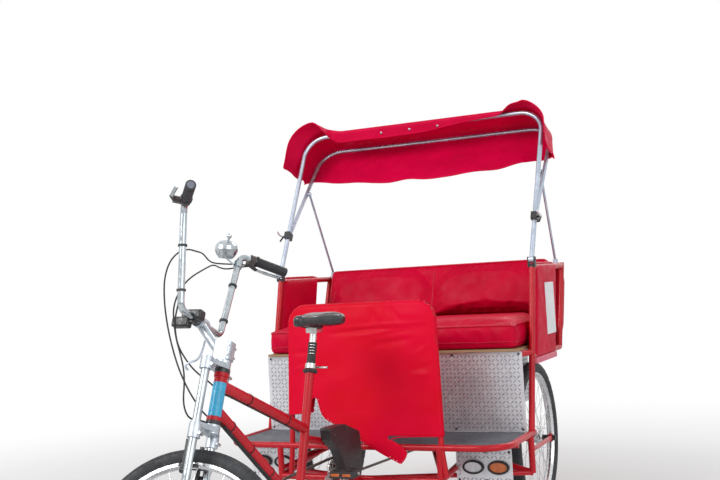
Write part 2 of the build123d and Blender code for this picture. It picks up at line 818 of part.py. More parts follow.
def tail_lamps():
    """Oval red lamps on the tail plate."""
    face = back_foot_y + cab_tube_radius + seam + sheet
    depth = front_lamp_half * 0.6
    lamp = Plane.XZ * Ellipse(front_lamp_half * 1.4, front_lamp_height * 0.64)
    return both_sides(Pos(tail_lamp_x, face + depth, tail_lamp_z) * extrude(lamp, depth - seam))


def valance():
    """Tread-plate lamp panel under the left front of the deck, with its two lamp holes."""
    plate = block((valance_inner_x, valance_y, valance_low_z), (valance_outer_x, valance_y + sheet, valance_top_z))
    for x in (clear_lamp_x, amber_lamp_x):
        plate -= lamp_body(x, front_lamp_half + 1, front_lamp_height / 2 + 1, 60, valance_y + 30)
    return plate - chassis(seam)


def lamp_body(x, half_width, half_height, depth, back):
    """Oval lamp whose back face is at the given Y."""
    return Pos(x, back, front_lamp_z) * extrude(Plane.XZ * Ellipse(half_width, half_height), depth)


def front_lamps(x):
    """One oval lamp on each side, flanged over its hole."""
    half_height = front_lamp_height / 2
    lamp = lamp_body(x, front_lamp_half, half_height, 30, valance_y + 18)
    lamp += lamp_body(x, front_lamp_half + 6, half_height + 6, 10, valance_y - seam)
    lamp -= lamp_body(x, front_lamp_half - 1, half_height - 1, 20, valance_y - seam - 5)
    return both_sides(lamp)


# Apron

def apron_y(z):
    """Y of the apron hoop's axis at a height."""
    foot = rim_z()
    return deck_front_y + (apron_top_y - deck_front_y) * (z - foot) / (apron_top_z - foot)


def apron_left(z):
    """X of the hoop's left leg at a height below its corner."""
    foot = rim_z()
    return apron_left_foot_x + (apron_left_top_x - apron_left_foot_x) * (z - foot) / (apron_top_z - foot)


def apron_hoop():
    """Tube hoop that stands on the deck's front rim, with a gusset plate under each leg."""
    foot = rim_z()
    points = [(apron_left(foot), deck_front_y, foot), (apron_left_top_x, apron_top_y, apron_top_z),
              (apron_right_x, apron_top_y, apron_top_z), (apron_right_x, deck_front_y, foot)]
    hoop = bent_tube(points, apron_tube_radius, apron_corner)
    for x in (apron_left(foot), apron_right_x):
        low = (x * 1.04, deck_front_y, lower_rail_z + cab_tube_radius)
        hoop += rod((x, deck_front_y, foot), low, apron_tube_radius - 0.4)
    return hoop - chassis(seam)


def apron_sheet(lower, grow, front):
    """Upright leaning slab in the shape of the cover, grown sideways and upward."""
    top = apron_top_z + grow
    outline = [(apron_right_x - grow, top), (apron_left(top) + grow, top)]
    outline += [(apron_left(lower[0][1]) + grow, lower[0][1])] + lower
    outline += [(apron_right_x - grow, lower[-1][1])]
    middle_y = (deck_front_y + apron_top_y) / 2
    slab = Pos(0, middle_y, 0) * extrude(Plane.XZ * make_face(Polyline(*outline, close=True)), 200, both=True)
    corners = slab.edges().filter_by(Axis.Y).sort_by(Axis.Z)[-2:]
    slab = fillet(corners, apron_corner + grow)
    high = top + 50
    base = lower_rail_z
    lean_outline = [(apron_y(base) - front, base), (apron_y(high) - front, high),
                    (apron_y(high) + front, high), (apron_y(base) + front, base)]
    return slab & x_prism(lean_outline, -post_x, post_x)


def apron_cover():
    """Vinyl cover stretched over the hoop, cut on a long diagonal that hangs to a point in front."""
    gap = cab_tube_radius + 2 * seam
    notch = apron_notch_x
    tip = apron_tip_x
    hem = [(apron_hem_x + 4, apron_low_z), (apron_hem_x + 78, apron_low_z - 38), (tip + 26, apron_tip_z + 34),
           (tip, apron_tip_z), (tip - 18, apron_tip_z + 6), (-28, apron_right_low_z - 64), (notch + 58, apron_right_low_z - 32),
           (notch + 28, apron_right_low_z + 18), (notch + 16, apron_notch_z), (notch - 12, apron_notch_z),
           (notch - 20, apron_right_low_z)]
    outer = apron_sheet(hem, gap + skin, gap + skin)
    low = apron_tip_z - 40
    inner = apron_sheet([(tip, low), (notch, low)], gap, gap)
    behind = [(apron_y(low), low), (apron_y(apron_low_z), apron_low_z), (apron_top_y + 100, apron_low_z),
              (apron_top_y + 100, low)]
    return outer - inner - x_prism(behind, -post_x, post_x)


# Hood

def hood_point(z, lean=hood_lean, base=None):
    """Point on a leaning hood tube at a height, left side."""
    start = base or (hood_pin_y, hood_pin_z)
    return (hood_x, start[0] + (z - start[1]) * tan(radians(lean)), z)


def clamp_point():
    """Where the two bows meet on the left side."""
    return hood_point(clamp_z)


def hood_front_bow():
    """Front bow from the pins on the arm rails up and over."""
    left_top = hood_point(front_bow_top_z)
    foot = hood_point(hood_pin_z)
    points = [foot, left_top, (-left_top[0], left_top[1], left_top[2]), (-foot[0], foot[1], foot[2])]
    bow = bent_tube(points, hood_tube_radius, bow_corner)
    eye = x_cylinder(foot[0], foot[1], foot[2], 14, 2 * hood_tube_radius)
    bow += both_sides(eye)
    return bow - both_sides(x_cylinder(foot[0], foot[1], foot[2], hood_pin_radius + running_gap, 60))


def rear_bow_point(z):
    """Point on the rear bow's left leg at a height."""
    base = clamp_point()
    return hood_point(z, rear_bow_lean, (base[1] + 18, base[2] + 12))


def hood_rear_bow():
    """Rear bow that branches off above the clamps."""
    base = clamp_point()
    start = (base[0], base[1] + 18, base[2] + 12)
    top = hood_point(rear_bow_top_z, rear_bow_lean, (start[1], start[2]))
    points = [start, top, (-top[0], top[1], top[2]), (-start[0], start[1], start[2])]
    bow = bent_tube(points, hood_tube_radius - 1, bow_corner)
    return bow - hood_front_bow_clearance()


def hood_front_bow_clearance():
    """Space round the front bow's legs and clamps."""
    foot = hood_point(hood_pin_z)
    top = hood_point(front_bow_top_z)
    legs = both_sides(rod(foot, top, hood_tube_radius + seam))
    return legs + both_sides(clamp_body(seam))


def clamp_body(grow=0.0):
    """Block of one hood clamp."""
    x, y, z = clamp_point()
    place = Pos(x, y, z) * Rot(-hood_lean, 0, 0)
    return place * Box(26 + 2 * grow, 40 + 2 * grow, 34 + 2 * grow)


def hood_clamps():
    """Clamp blocks with a small lever each, where the rear bow joins the front bow."""
    x, y, z = clamp_point()
    body = clamp_body()
    body += rod((x + 13, y, z), (x + 30, y, z), 5)
    body += rod((x + 27, y, z), (x + 27, y - 34, z - 22), 4)
    foot = hood_point(hood_pin_z)
    top = hood_point(front_bow_top_z)
    body -= rod(foot, top, hood_tube_radius + seam)
    return both_sides(body)


def hood_brackets():
    """Clevis brackets with pins on the arm rails that carry the hood."""
    x, y, z = hood_point(hood_pin_z)
    ear = hood_tube_radius + 0.5
    ears = block((x - ear - 5, y - 12, arm_z), (x - ear, y + 12, z + 12))
    ears += block((x + ear, y - 12, arm_z), (x + ear + 5, y + 12, z + 12))
    ears += block((x - ear - 5, y - 12, arm_z), (x + ear + 5, y + 12, arm_z + 15))
    pin = x_cylinder(x, y, z, hood_pin_radius, 36)
    return both_sides(ears + pin - cab_side(seam))


def hood_struts():
    """Thin struts from the back rail up to the rear bow, each on a small foot."""
    top_z = rear_bow_top_z - strut_below_bow
    top_x = post_x - strut_top_in
    foot_x = post_x - strut_foot_in
    top_y = rear_bow_point(top_z)[1]
    foot_z = arm_z + 24
    strut = rod((foot_x, strut_foot_y, foot_z), (top_x, top_y, top_z), strut_radius)
    inner = top_x - strut_radius
    outer = hood_x - hood_tube_radius + 1 - seam
    strut += x_cylinder((inner + outer) / 2, top_y, top_z, 10, outer - inner)
    strut += block((foot_x - 9, strut_foot_y - 12, arm_z), (foot_x + 9, strut_foot_y + 12, foot_z + 10))
    solid = both_sides(strut)
    return solid - rod((-post_x, back_top_y, arm_z), (post_x, back_top_y, arm_z), cab_tube_radius + seam)


def cover_outline(out, drop):
    """Side outline of the cover, a set distance outside both bows, as (y, z)."""
    lean = radians(rear_bow_lean)
    front = hood_point(front_bow_top_z)
    rear = rear_bow_point(rear_bow_top_z)
    low = rear_bow_point(rear_bow_top_z - cover_low_below - drop)
    slope = atan2(front[2] - rear[2], rear[1] - front[1])
    rise = out / cos(slope)
    behind = (out * cos(lean), -out * sin(lean))
    return [
        (front[1] - out, front[2] - cover_band_drop),
        (front[1] - out, front[2] + rise),
        (front[1], front[2] + rise),
        (rear[1] + out, rear[2] + rise),
        (rear[1] + behind[0] + out * sin(lean), rear[2] + behind[1] + out * cos(lean)),
        (low[1] + behind[0], low[2] + behind[1]),
    ]


def hood_cover():
    """Vinyl cover over both bows: a front band, a sloping top, a rear panel and two side flaps."""
    gap = hood_tube_radius + seam
    leg = hood_point(front_bow_top_z - cover_side_below)
    band = front_bow_top_z - cover_band_drop
    upper_leg = hood_point(band)
    outer = cover_outline(gap + cover_wall, 0)
    outer += [(leg[1] - gap, leg[2]), (upper_leg[1] - gap, band)]
    hollow = cover_outline(gap, 80)
    hollow += [(hood_pin_y, rear_bow_top_z - 2 * cover_low_below), (hood_pin_y, band)]
    inner_half = hood_x + gap
    solid = x_prism(outer, -inner_half - cover_wall, inner_half + cover_wall)
    solid -= x_prism(hollow, -inner_half, inner_half)
    back = gap / cos(radians(hood_lean))
    foot = hood_point(hood_pin_z)
    above = hood_point(front_bow_top_z + 100)
    before = [(foot[1] + back, foot[2]), (above[1] + back, above[2]), (above[1] - 200, above[2]), (foot[1] - 200, foot[2])]
    return solid - both_sides(x_prism(before, cover_band_half, inner_half))


# Rear axle

def rear_axle():
    """Axle tube with the differential, its sprocket, the spring pads and both wheel stubs."""
    hub_inner = rear_wheel_x - rear_hub_half
    hub_outer = rear_wheel_x + rear_hub_half
    tube_half = hub_inner - axle_spacer
    stub_end = outer_stay_x + 22
    parts = x_cylinder(0, 0, axle_z, axle_tube_radius, 2 * tube_half)
    parts += x_cylinder(0, 0, axle_z, differential_radius, 2 * differential_half)
    parts = parts - x_cylinder(rear_chain_x, 0, axle_z, rear_sprocket_radius + 40, 16)
    parts += Pos(rear_chain_x, 0, axle_z) * Rot(0, 90, 0) * toothed(rear_sprocket_radius, 4)
    parts += x_cylinder(rear_chain_x, 0, axle_z, 26, 20)
    end = x_cylinder((tube_half + stub_end) / 2, 0, axle_z, rear_axle_radius, stub_end - tube_half)
    end += x_cylinder((tube_half + hub_inner - 0.5) / 2, 0, axle_z, 15, hub_inner - 0.5 - tube_half)
    end += x_cylinder((hub_outer + 0.5 + outer_stay_x - 6 - seam) / 2, 0, axle_z, 13, outer_stay_x - 6.5 - seam - hub_outer)
    end += x_cylinder(outer_stay_x + 11 + seam, 0, axle_z, 13, 10)
    end += block((lower_rail_x - 20, -22, axle_z), (lower_rail_x + 20, 22, axle_pad_z))
    return parts + both_sides(end)


# Steering

def fork_crowns():
    """Steerer with the upper and lower crowns, whose leg clamps sit below the middle bosses."""
    half = head_tube_length / 2
    cup = headset_height
    top = half + cup
    parts = Pos(0, 0, 0) * Cylinder(steerer_radius, 2 * top + 2 * crown_height)
    web_plan = Circle(crown_radius)
    for side in (-1, 1):
        web_plan += Pos(side * leg_half_spacing, -leg_forward) * Circle(leg_radius + 5)
    web = extrude(make_hull(web_plan.edges()), crown_web)
    floor = (Align.CENTER, Align.CENTER, Align.MIN)
    for base, drop, lift in ((top, upper_crown_drop, 0), (-top - crown_height, lower_crown_drop, crown_height - crown_web)):
        parts += Pos(0, 0, base) * Cylinder(crown_radius, crown_height, align=floor)
        parts += Pos(0, 0, base + lift * 0.4) * web
        for side in (-1, 1):
            spot = Pos(side * leg_half_spacing, -leg_forward, base - drop)
            parts += spot * Cylinder(leg_radius + 7, crown_height + drop * 0.5, align=floor)
            parts += spot * Pos(0, leg_radius + 8, crown_height / 2) * Rot(0, 90, 0) * Cylinder(5, 26)
    parts += Pos(0, 0, top + crown_height + 22) * Cylinder(steerer_radius, 44)
    for side in (-1, 1):
        parts -= Pos(side * leg_half_spacing, -leg_forward, 0) * Cylinder(leg_radius + seam, 400)
    return turned() * parts


def headset_cups():
    """Bearing cups at both ends of the head tube."""
    half = head_tube_length / 2
    cups = Pos(0, 0, half + headset_height / 2) * Cylinder(headset_radius, headset_height - 2 * seam)
    cups += Pos(0, 0, -half - headset_height / 2) * Cylinder(headset_radius, headset_height - 2 * seam)
    cups -= Cylinder(steerer_radius + running_gap, 400)
    return turned() * cups


def fork_legs():
    """Two straight fork legs with their dropouts."""
    top = head_tube_length / 2 + headset_height + crown_height - upper_crown_drop * 0.5 + 3
    low = -axle_drop() + 26
    leg = Pos(leg_half_spacing, -leg_forward, (top + low) / 2) * Cylinder(leg_radius, top - low)
    plate = block((50, -axle_forward - 15, -axle_drop() - 16), (56, -leg_forward + 11, low + 26))
    plate -= x_cylinder(53, -axle_forward, -axle_drop(), front_axle_radius + seam, 20)
    return turned() * both_sides(leg + plate)


def front_axle():
    """Front axle with its nuts."""
    axle = x_cylinder(0, 0, 0, front_axle_radius, 148)
    nut = x_cylinder(56 + seam + 5, 0, 0, 9, 10) + x_cylinder(48.6, 0, 0, 9, 2)
    return front_wheel_place() * (axle + both_sides(nut))


def bar_points():
    """Corner points of the handlebar, from the left grip to the right."""
    base = (bar_base_half, -stem_reach, stem_rise)
    top = (base[0] + bar_riser_out, base[1] - bar_riser_forward, base[2] + bar_riser_height)
    end = (top[0] + grip_out, top[1] + grip_back, top[2] - grip_drop)
    left = [end, top, base]
    return left + [(-x, y, z) for x, y, z in reversed(left)]


def grip_direction():
    """Unit vector from the bar's bend to the left bar end."""
    points = bar_points()
    return (Vector(*points[0]) - Vector(*points[1])).normalized()


def stem():
    """Raised stem: a cast steerer clamp, a sloping arm and the handlebar jaw with its bolts."""
    base = head_tube_length / 2 + headset_height + crown_height + 1
    middle = base + stem_clamp_height / 2
    clamp = Pos(0, -6, middle) * Box(46, 62, stem_clamp_height)
    clamp = fillet(clamp.edges().filter_by(Axis.Z), 12)
    arm = rod((0, -20, middle - 4), (0, -stem_reach + 4, stem_rise - 8), 15)
    jaw = x_cylinder(0, -stem_reach, stem_rise, 20, 52)
    parts = clamp + arm + jaw
    for z in (middle - 15, middle + 15):
        parts += x_cylinder(0, 18, z, 5, 54)
    for x in (-18, 18):
        parts += Pos(x, -stem_reach - 16, stem_rise + 10) * Rot(60, 0, 0) * Cylinder(4.5, 16)
    parts -= x_cylinder(0, -stem_reach, stem_rise, bar_radius + seam, 80)
    parts -= Pos(0, 0, base + 20) * Cylinder(steerer_radius + seam, 50)
    return bars_place() * parts


def handlebar():
    """High-rise handlebar."""
    return bars_place() * bent_tube(bar_points(), bar_radius, bar_bend)


def along_grip(side, distance, solid):
    """Put a solid on the bar at a distance in from one bar end, z pointing outward."""
    end = Vector(*bar_points()[0])
    out = grip_direction()
    spot = end - out * distance
    if side < 0:
        spot = Vector(-spot.X, spot.Y, spot.Z)
        out = Vector(-out.X, out.Y, out.Z)
    return Location(Plane(origin=spot, x_dir=(0, 0, 1), z_dir=out)) * solid


def grips():
    """Rubber grips closed over the bar ends."""
    grip = Pos(0, 0, 4) * Cylinder(grip_radius, grip_length, align=(Align.CENTER, Align.CENTER, Align.MAX))
    grip += Pos(0, 0, 4 - grip_length + 3) * Cylinder(grip_radius + 4, 6)
    grip -= Pos(0, 0, seam) * Cylinder(bar_radius + seam, grip_length + 40, align=(Align.CENTER, Align.CENTER, Align.MAX))
    return bars_place() * (along_grip(1, 0, grip) + along_grip(-1, 0, grip))


def brake_levers():
    """Lever clamps with their blades in front of the grips."""
    result = None
    for side in (1, -1):
        lever = Cylinder(bar_radius + 6, 18) + Pos(-4, side * 22, 2) * Box(18, 34, 18)
        lever += rod((-4, side * 36, 0), (-10, side * 46, 40), 7)
        lever += rod((-10, side * 46, 40), (-10, side * 40, 128), 5)
        lever -= Cylinder(bar_radius + seam, 100)
        placed = along_grip(side, grip_length + 10, lever)
        result = placed if result is None else result + placed
    return bars_place() * result


def bell():
    """Large two-part bell held in front of the right riser by a strap."""
    profile = Polyline((0, -bell_height / 2), (bell_radius * 0.6, -bell_height / 2), (bell_radius * 0.86, -bell_height * 0.3),
                       (bell_radius, -4), (bell_radius, 4), (bell_radius * 0.9, bell_height * 0.26),
                       (bell_radius * 0.62, bell_height * 0.43), (bell_radius * 0.28, bell_height / 2), (0, bell_height / 2), close=True)
    dome = revolve(Plane.XZ * make_face(profile), Axis.Z)
    dome += rod((0, 0, 0), (bell_radius * 0.35, bell_radius * 0.4, bell_height * 0.72), 4)
    dome += Pos(bell_radius * 0.35, bell_radius * 0.4, bell_height * 0.76) * Sphere(9)
    points = bar_points()
    top = Vector(*points[4])
    down = (Vector(*points[3]) - top).normalized()
    strap_spot = top + down * 40
    place = Location(Plane(origin=strap_spot, x_dir=(0, -1, 0), z_dir=down * -1))
    strap = place * (Cylinder(bar_radius + 4, 22) - Cylinder(bar_radius + seam, 60))
    arm = rod(tuple(strap_spot + Vector(14, -9, 0)), (bell_x, bell_y, bell_z - bell_height / 2 + 6), 6)
    bell_place = Pos(bell_x, bell_y, bell_z) * Rot(-8, 24, 0)
    return bars_place() * (strap + arm + bell_place * dome)


def head_lamp():
    """Small black lamp clamped on the bar beside the stem, its lens ahead."""
    body = fillet(Box(34, 72, 34).edges(), 8)
    hood = fillet(Box(30, 62, 34).edges(), 7)
    lamp = Pos(48, -stem_reach - 2, stem_rise + 8) * body
    lamp += Pos(50, -stem_reach - 38, stem_rise - 16) * hood
    ring = Pos(48, -stem_reach, stem_rise) * Rot(0, 90, 0) * Cylinder(bar_radius + 6, 20)
    bore = Pos(48, -stem_reach, stem_rise) * Rot(0, 90, 0) * Cylinder(bar_radius + seam, 80)
    return bars_place() * (lamp + ring - bore)


def rim_brake():
    """Two brake arms with their pads on the front of the fork legs."""
    seat = tyre_seat(front_wheel_radius, front_tyre_section)
    boss_z = -axle_drop() + seat - 34
    legs_y = -leg_forward - leg_radius
    arm = block((leg_half_spacing - 22, legs_y - 14, boss_z - 8), (leg_half_spacing - 10, legs_y - 4, boss_z + 94))
    arm += Pos(leg_half_spacing - 6, legs_y - 4, boss_z) * Rot(90, 0, 0) * Cylinder(8, 20)
    pad_z = -axle_drop() + seat - rim_depth * 0.75
    arm += rod((leg_half_spacing - 14, legs_y - 9, pad_z), (rim_width / 2 + 12, legs_y - 9, pad_z), 4)
    arm += block((rim_width / 2 + 3, legs_y - 40, pad_z - 5), (rim_width / 2 + 13, legs_y + 22, pad_z + 5))
    arm -= Pos(leg_half_spacing, -leg_forward, 0) * Cylinder(leg_radius + seam, 900)
    return turned() * both_sides(arm)


def rear_wheel(solid, side):
    """Put a wheel piece at one end of the rear axle."""
    return Pos(side * rear_wheel_x, 0, axle_z) * solid


def all_pieces():
    """Every sub-part by name, in the rear axle's frame."""
    rear_seat = tyre_seat(wheel_radius, tyre_section)
    front_seat = tyre_seat(front_wheel_radius, front_tyre_section)
    rear_laced = laced_wheel(rear_seat, rear_hub_radius, rear_hub_half, rear_axle_radius + running_gap)
    front_laced = laced_wheel(front_seat, front_hub_radius, front_hub_half, front_axle_radius + running_gap)
    rear_tyre = tyre(wheel_radius, tyre_section)
    left_panel = side_panel()
    pieces = {
        "front_frame": front_frame(),
        "chassis": chassis(),
        "cab_frame": cab_frame(),
        "deck": deck(),
        "seat_box_front": seat_box_front(),
        "seat_box_sides": seat_box_sides(),
        "seat_board": seat_board(),
        "seat_cushion": seat_cushion(),
        "seat_back": seat_back(),
        "side_panel_left": left_panel,
        "side_panel_right": mirror(left_panel, about=Plane.YZ),
        "side_sign": side_sign(),
        "back_panel": back_panel(),
        "tail_plate": tail_plate(),
        "tail_lamps": tail_lamps(),
        "lamp_panels": both_sides(valance()),
        "clear_lamps": front_lamps(clear_lamp_x),
        "amber_lamps": front_lamps(amber_lamp_x),
        "apron_hoop": apron_hoop(),
        "apron_cover": apron_cover(),
        "hood_brackets": hood_brackets(),
        "hood_front_bow": hood_front_bow(),
        "hood_rear_bow": hood_rear_bow(),
        "hood_clamps": hood_clamps(),
        "hood_struts": hood_struts(),
        "hood_cover": hood_cover(),
        "seatpost": seatpost(),
        "seat_collar": seat_collar(),
        "seatpost_boot": seatpost_boot(),
        "saddle": saddle(),
        "crankset": crankset(),
        "pedal_left": pedal(1),
        "pedal_right": pedal(-1),
        "front_chain": front_chain(),
        "rear_chain": rear_chain(),
        "countershaft": countershaft(),
        "gear_case": gear_case(),
        "frame_cables": frame_cables(),
        "bar_cables": bar_cables(),
        "rear_axle": rear_axle(),
        "rear_tyre_left": rear_wheel(rear_tyre, 1),
        "rear_tyre_right": rear_wheel(rear_tyre, -1),
        "rear_wheel_left": rear_wheel(rear_laced, 1),
        "rear_wheel_right": rear_wheel(rear_laced, -1),
        "front_tyre": front_wheel_place() * tyre(front_wheel_radius, front_tyre_section),
        "front_wheel": front_wheel_place() * front_laced,
        "front_axle": front_axle(),
        "fork_crowns": fork_crowns(),
        "headset_cups": headset_cups(),
        "fork_legs": fork_legs(),
        "stem": stem(),
        "handlebar": handlebar(),
        "grips": grips(),
        "brake_levers": brake_levers(),
        "bell": bell(),
        "head_lamp": head_lamp(),
        "rim_brake": rim_brake(),
    }
    return pieces


def main():
    """Write each sub-part and print the places that the joints need."""
    os.makedirs("parts", exist_ok=True)
    low = 1e9
    high = -1e9
    for name, solid in all_pieces().items():
        placed = Pos(0, rear_axle_y, 0) * solid
        export_step(placed, f"parts/{name}.step")
        box = placed.bounding_box()
        low = min(low, box.min.Y)
        high = max(high, box.max.Y)
    print("y from", round(low, 3), "to", round(high, 3), "middle", round((low + high) / 2, 3))
    shift = Pos(0, rear_axle_y, 0)
    print("steering axis point", (shift * head_place()).position)
    wheel = shift * front_wheel_place()
    print("front wheel centre", wheel.position, "axle", (wheel * Pos(1, 0, 0)).position - wheel.position)


main()
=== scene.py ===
# %% [markdown]
# # A cycle rickshaw
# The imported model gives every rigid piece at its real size. This lesson dresses it: paint, vinyl,
# chrome and rubber as node materials, and the soft, linked and treaded pieces as modelled meshes.

# %% Load the frame
import math

import bmesh
import bpy
from mathutils import Matrix, Vector, noise
from mathutils.bvhtree import BVHTree


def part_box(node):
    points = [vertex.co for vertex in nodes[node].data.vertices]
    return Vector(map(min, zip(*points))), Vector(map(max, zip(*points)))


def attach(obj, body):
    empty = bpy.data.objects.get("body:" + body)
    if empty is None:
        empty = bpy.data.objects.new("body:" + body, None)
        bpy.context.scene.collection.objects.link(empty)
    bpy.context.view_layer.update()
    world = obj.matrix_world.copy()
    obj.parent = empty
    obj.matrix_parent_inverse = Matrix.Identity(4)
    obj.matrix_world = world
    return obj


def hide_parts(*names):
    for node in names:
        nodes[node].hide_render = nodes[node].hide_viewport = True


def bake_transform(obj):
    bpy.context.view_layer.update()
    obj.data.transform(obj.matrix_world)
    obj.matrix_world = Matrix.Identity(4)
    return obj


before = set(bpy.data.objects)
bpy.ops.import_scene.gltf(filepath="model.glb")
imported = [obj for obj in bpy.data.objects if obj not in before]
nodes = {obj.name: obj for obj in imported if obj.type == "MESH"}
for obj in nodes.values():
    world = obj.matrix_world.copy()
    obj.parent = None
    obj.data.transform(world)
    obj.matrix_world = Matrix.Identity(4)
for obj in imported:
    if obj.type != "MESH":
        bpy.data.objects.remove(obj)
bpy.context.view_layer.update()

# %% [markdown]
# ## Camera
# The photograph is taken from waist height, from the vehicle's left front.
# A lens of about 50 mm with a slight roll matches the picture's frame.

# %% Camera
REAR_AXLE_Y = (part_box("rear_tyre_left")[0][1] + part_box("rear_tyre_left")[1][1]) / 2
CAMERA_PLACE = Vector((1.714, REAR_AXLE_Y - 4.389, 1.073))
CAMERA_YAW = math.radians(24.69)
CAMERA_PITCH = math.radians(2.33)
CAMERA_ROLL = math.radians(-3.25)
CAMERA_LENS = 50.18

ahead = Vector((
    -math.sin(CAMERA_YAW) * math.cos(CAMERA_PITCH),
    math.cos(CAMERA_YAW) * math.cos(CAMERA_PITCH),
    math.sin(CAMERA_PITCH),
))
level = Vector((math.cos(CAMERA_YAW), math.sin(CAMERA_YAW), 0.0))
raised = level.cross(ahead)
right = level * math.cos(CAMERA_ROLL) + raised * math.sin(CAMERA_ROLL)
up = raised * math.cos(CAMERA_ROLL) - level * math.sin(CAMERA_ROLL)
camera_data = bpy.data.cameras.new("camera")
camera_data.lens = CAMERA_LENS
camera_data.sensor_width = 36.0
camera = bpy.data.objects.new("camera", camera_data)
bpy.context.collection.objects.link(camera)
camera_turn = Matrix((right, up, -ahead)).transposed()
camera.matrix_world = Matrix.Translation(CAMERA_PLACE) @ camera_turn.to_4x4()
bpy.context.scene.camera = camera
print("camera", tuple(round(v, 3) for v in CAMERA_PLACE))

# %% [markdown]
# ## Floor and light
# A pale floor catches the shadow. Three large soft lamps and a pale world give plain studio light.
# The world shows white to the camera and in reflections, and far from the vehicle the floor fades
# into that white, so that no horizon cuts the picture.

# %% One function for shader nodes


def add_node(tree, kind, values=None, sources=None, **settings):
    """A shader node with its settings, its input values and the outputs that feed it."""
    node = tree.nodes.new("ShaderNode" + kind)
    for name, value in settings.items():
        setattr(node, name, value)
    for name, value in (values or {}).items():
        node.inputs[name].default_value = value
    for name, source in (sources or {}).items():
        tree.links.new(source, node.inputs[name])
    return node


# %% Floor
bpy.context.scene.view_settings.view_transform = "Standard"
floor_mesh = bmesh.new()
bmesh.ops.create_grid(floor_mesh, x_segments=1, y_segments=1, size=40.0)
floor_data = bpy.data.meshes.new("floor")
floor_mesh.to_mesh(floor_data)
floor_mesh.free()
floor = bpy.data.objects.new("floor", floor_data)
bpy.context.collection.objects.link(floor)
floor_paint = bpy.data.materials.new("studio_floor")
floor_paint.use_nodes = True
floor_tree = floor_paint.node_tree
floor_shader = floor_tree.nodes["Principled BSDF"]
floor_shader.inputs["Base Color"].default_value = (0.80, 0.80, 0.80, 1.0)
floor_shader.inputs["Roughness"].default_value = 0.8
floor_place = add_node(floor_tree, "TexCoord")
floor_reach = add_node(floor_tree, "VectorMath", operation="LENGTH",
                       sources={0: floor_place.outputs["Object"]})
floor_fade = add_node(floor_tree, "MapRange", {"From Min": 1.4, "From Max": 5.0},
                      {"Value": floor_reach.outputs["Value"]}, interpolation_type="SMOOTHSTEP")
floor_path = add_node(floor_tree, "LightPath")
floor_share = add_node(floor_tree, "Math", operation="MULTIPLY",
                       sources={0: floor_fade.outputs[0], 1: floor_path.outputs["Is Camera Ray"]})
floor_white = add_node(floor_tree, "Emission")
floor_mix = add_node(floor_tree, "MixShader", sources={
    "Fac": floor_share.outputs[0], 1: floor_shader.outputs[0], 2: floor_white.outputs[0]})
floor_tree.links.new(floor_mix.outputs[0], floor_tree.nodes["Material Output"].inputs["Surface"])
floor_data.materials.append(floor_paint)

# %% Lamps and world


def soft_lamp(name, place, size, power):
    """A square area lamp that points at the middle of the vehicle."""
    data = bpy.data.lights.new(name, "AREA")
    data.energy = power
    data.size = size
    lamp = bpy.data.objects.new(name, data)
    lamp.location = place
    aim = Vector((0.0, 0.0, 0.7)) - Vector(place)
    lamp.rotation_euler = aim.to_track_quat("-Z", "Y").to_euler()
    bpy.context.collection.objects.link(lamp)


soft_lamp("key_lamp", (-2.5, -4.5, 4.5), 2.5, 210.0)
soft_lamp("fill_lamp", (4.5, -3.0, 3.0), 4.0, 95.0)
soft_lamp("back_lamp", (1.0, 5.0, 4.5), 3.0, 100.0)

world = bpy.data.worlds.new("studio")
bpy.context.scene.world = world
world.use_nodes = True
tree = world.node_tree
background = tree.nodes["Background"]
background.inputs["Color"].default_value = (1.0, 1.0, 1.0, 1.0)
rays = add_node(tree, "LightPath").outputs
straight = add_node(tree, "Math", operation="MAXIMUM",
                    sources={0: rays["Is Camera Ray"], 1: rays["Is Transmission Ray"]})
seen = add_node(tree, "Math", operation="MAXIMUM", sources={0: straight.outputs[0], 1: rays["Is Glossy Ray"]})
strength = add_node(tree, "MapRange", {"To Min": 0.50, "To Max": 1.0}, {"Value": seen.outputs[0]})
tree.links.new(strength.outputs[0], background.inputs["Strength"])
print("lamps", len(bpy.data.lights))

# %% [markdown]
# ## Finishes
# Real paint and vinyl are never one flat colour. Each finish mixes two tones by a soft noise,
# breaks up its gloss by a finer one, and takes a bump at the scale of its own grain.

# %% A finish builder


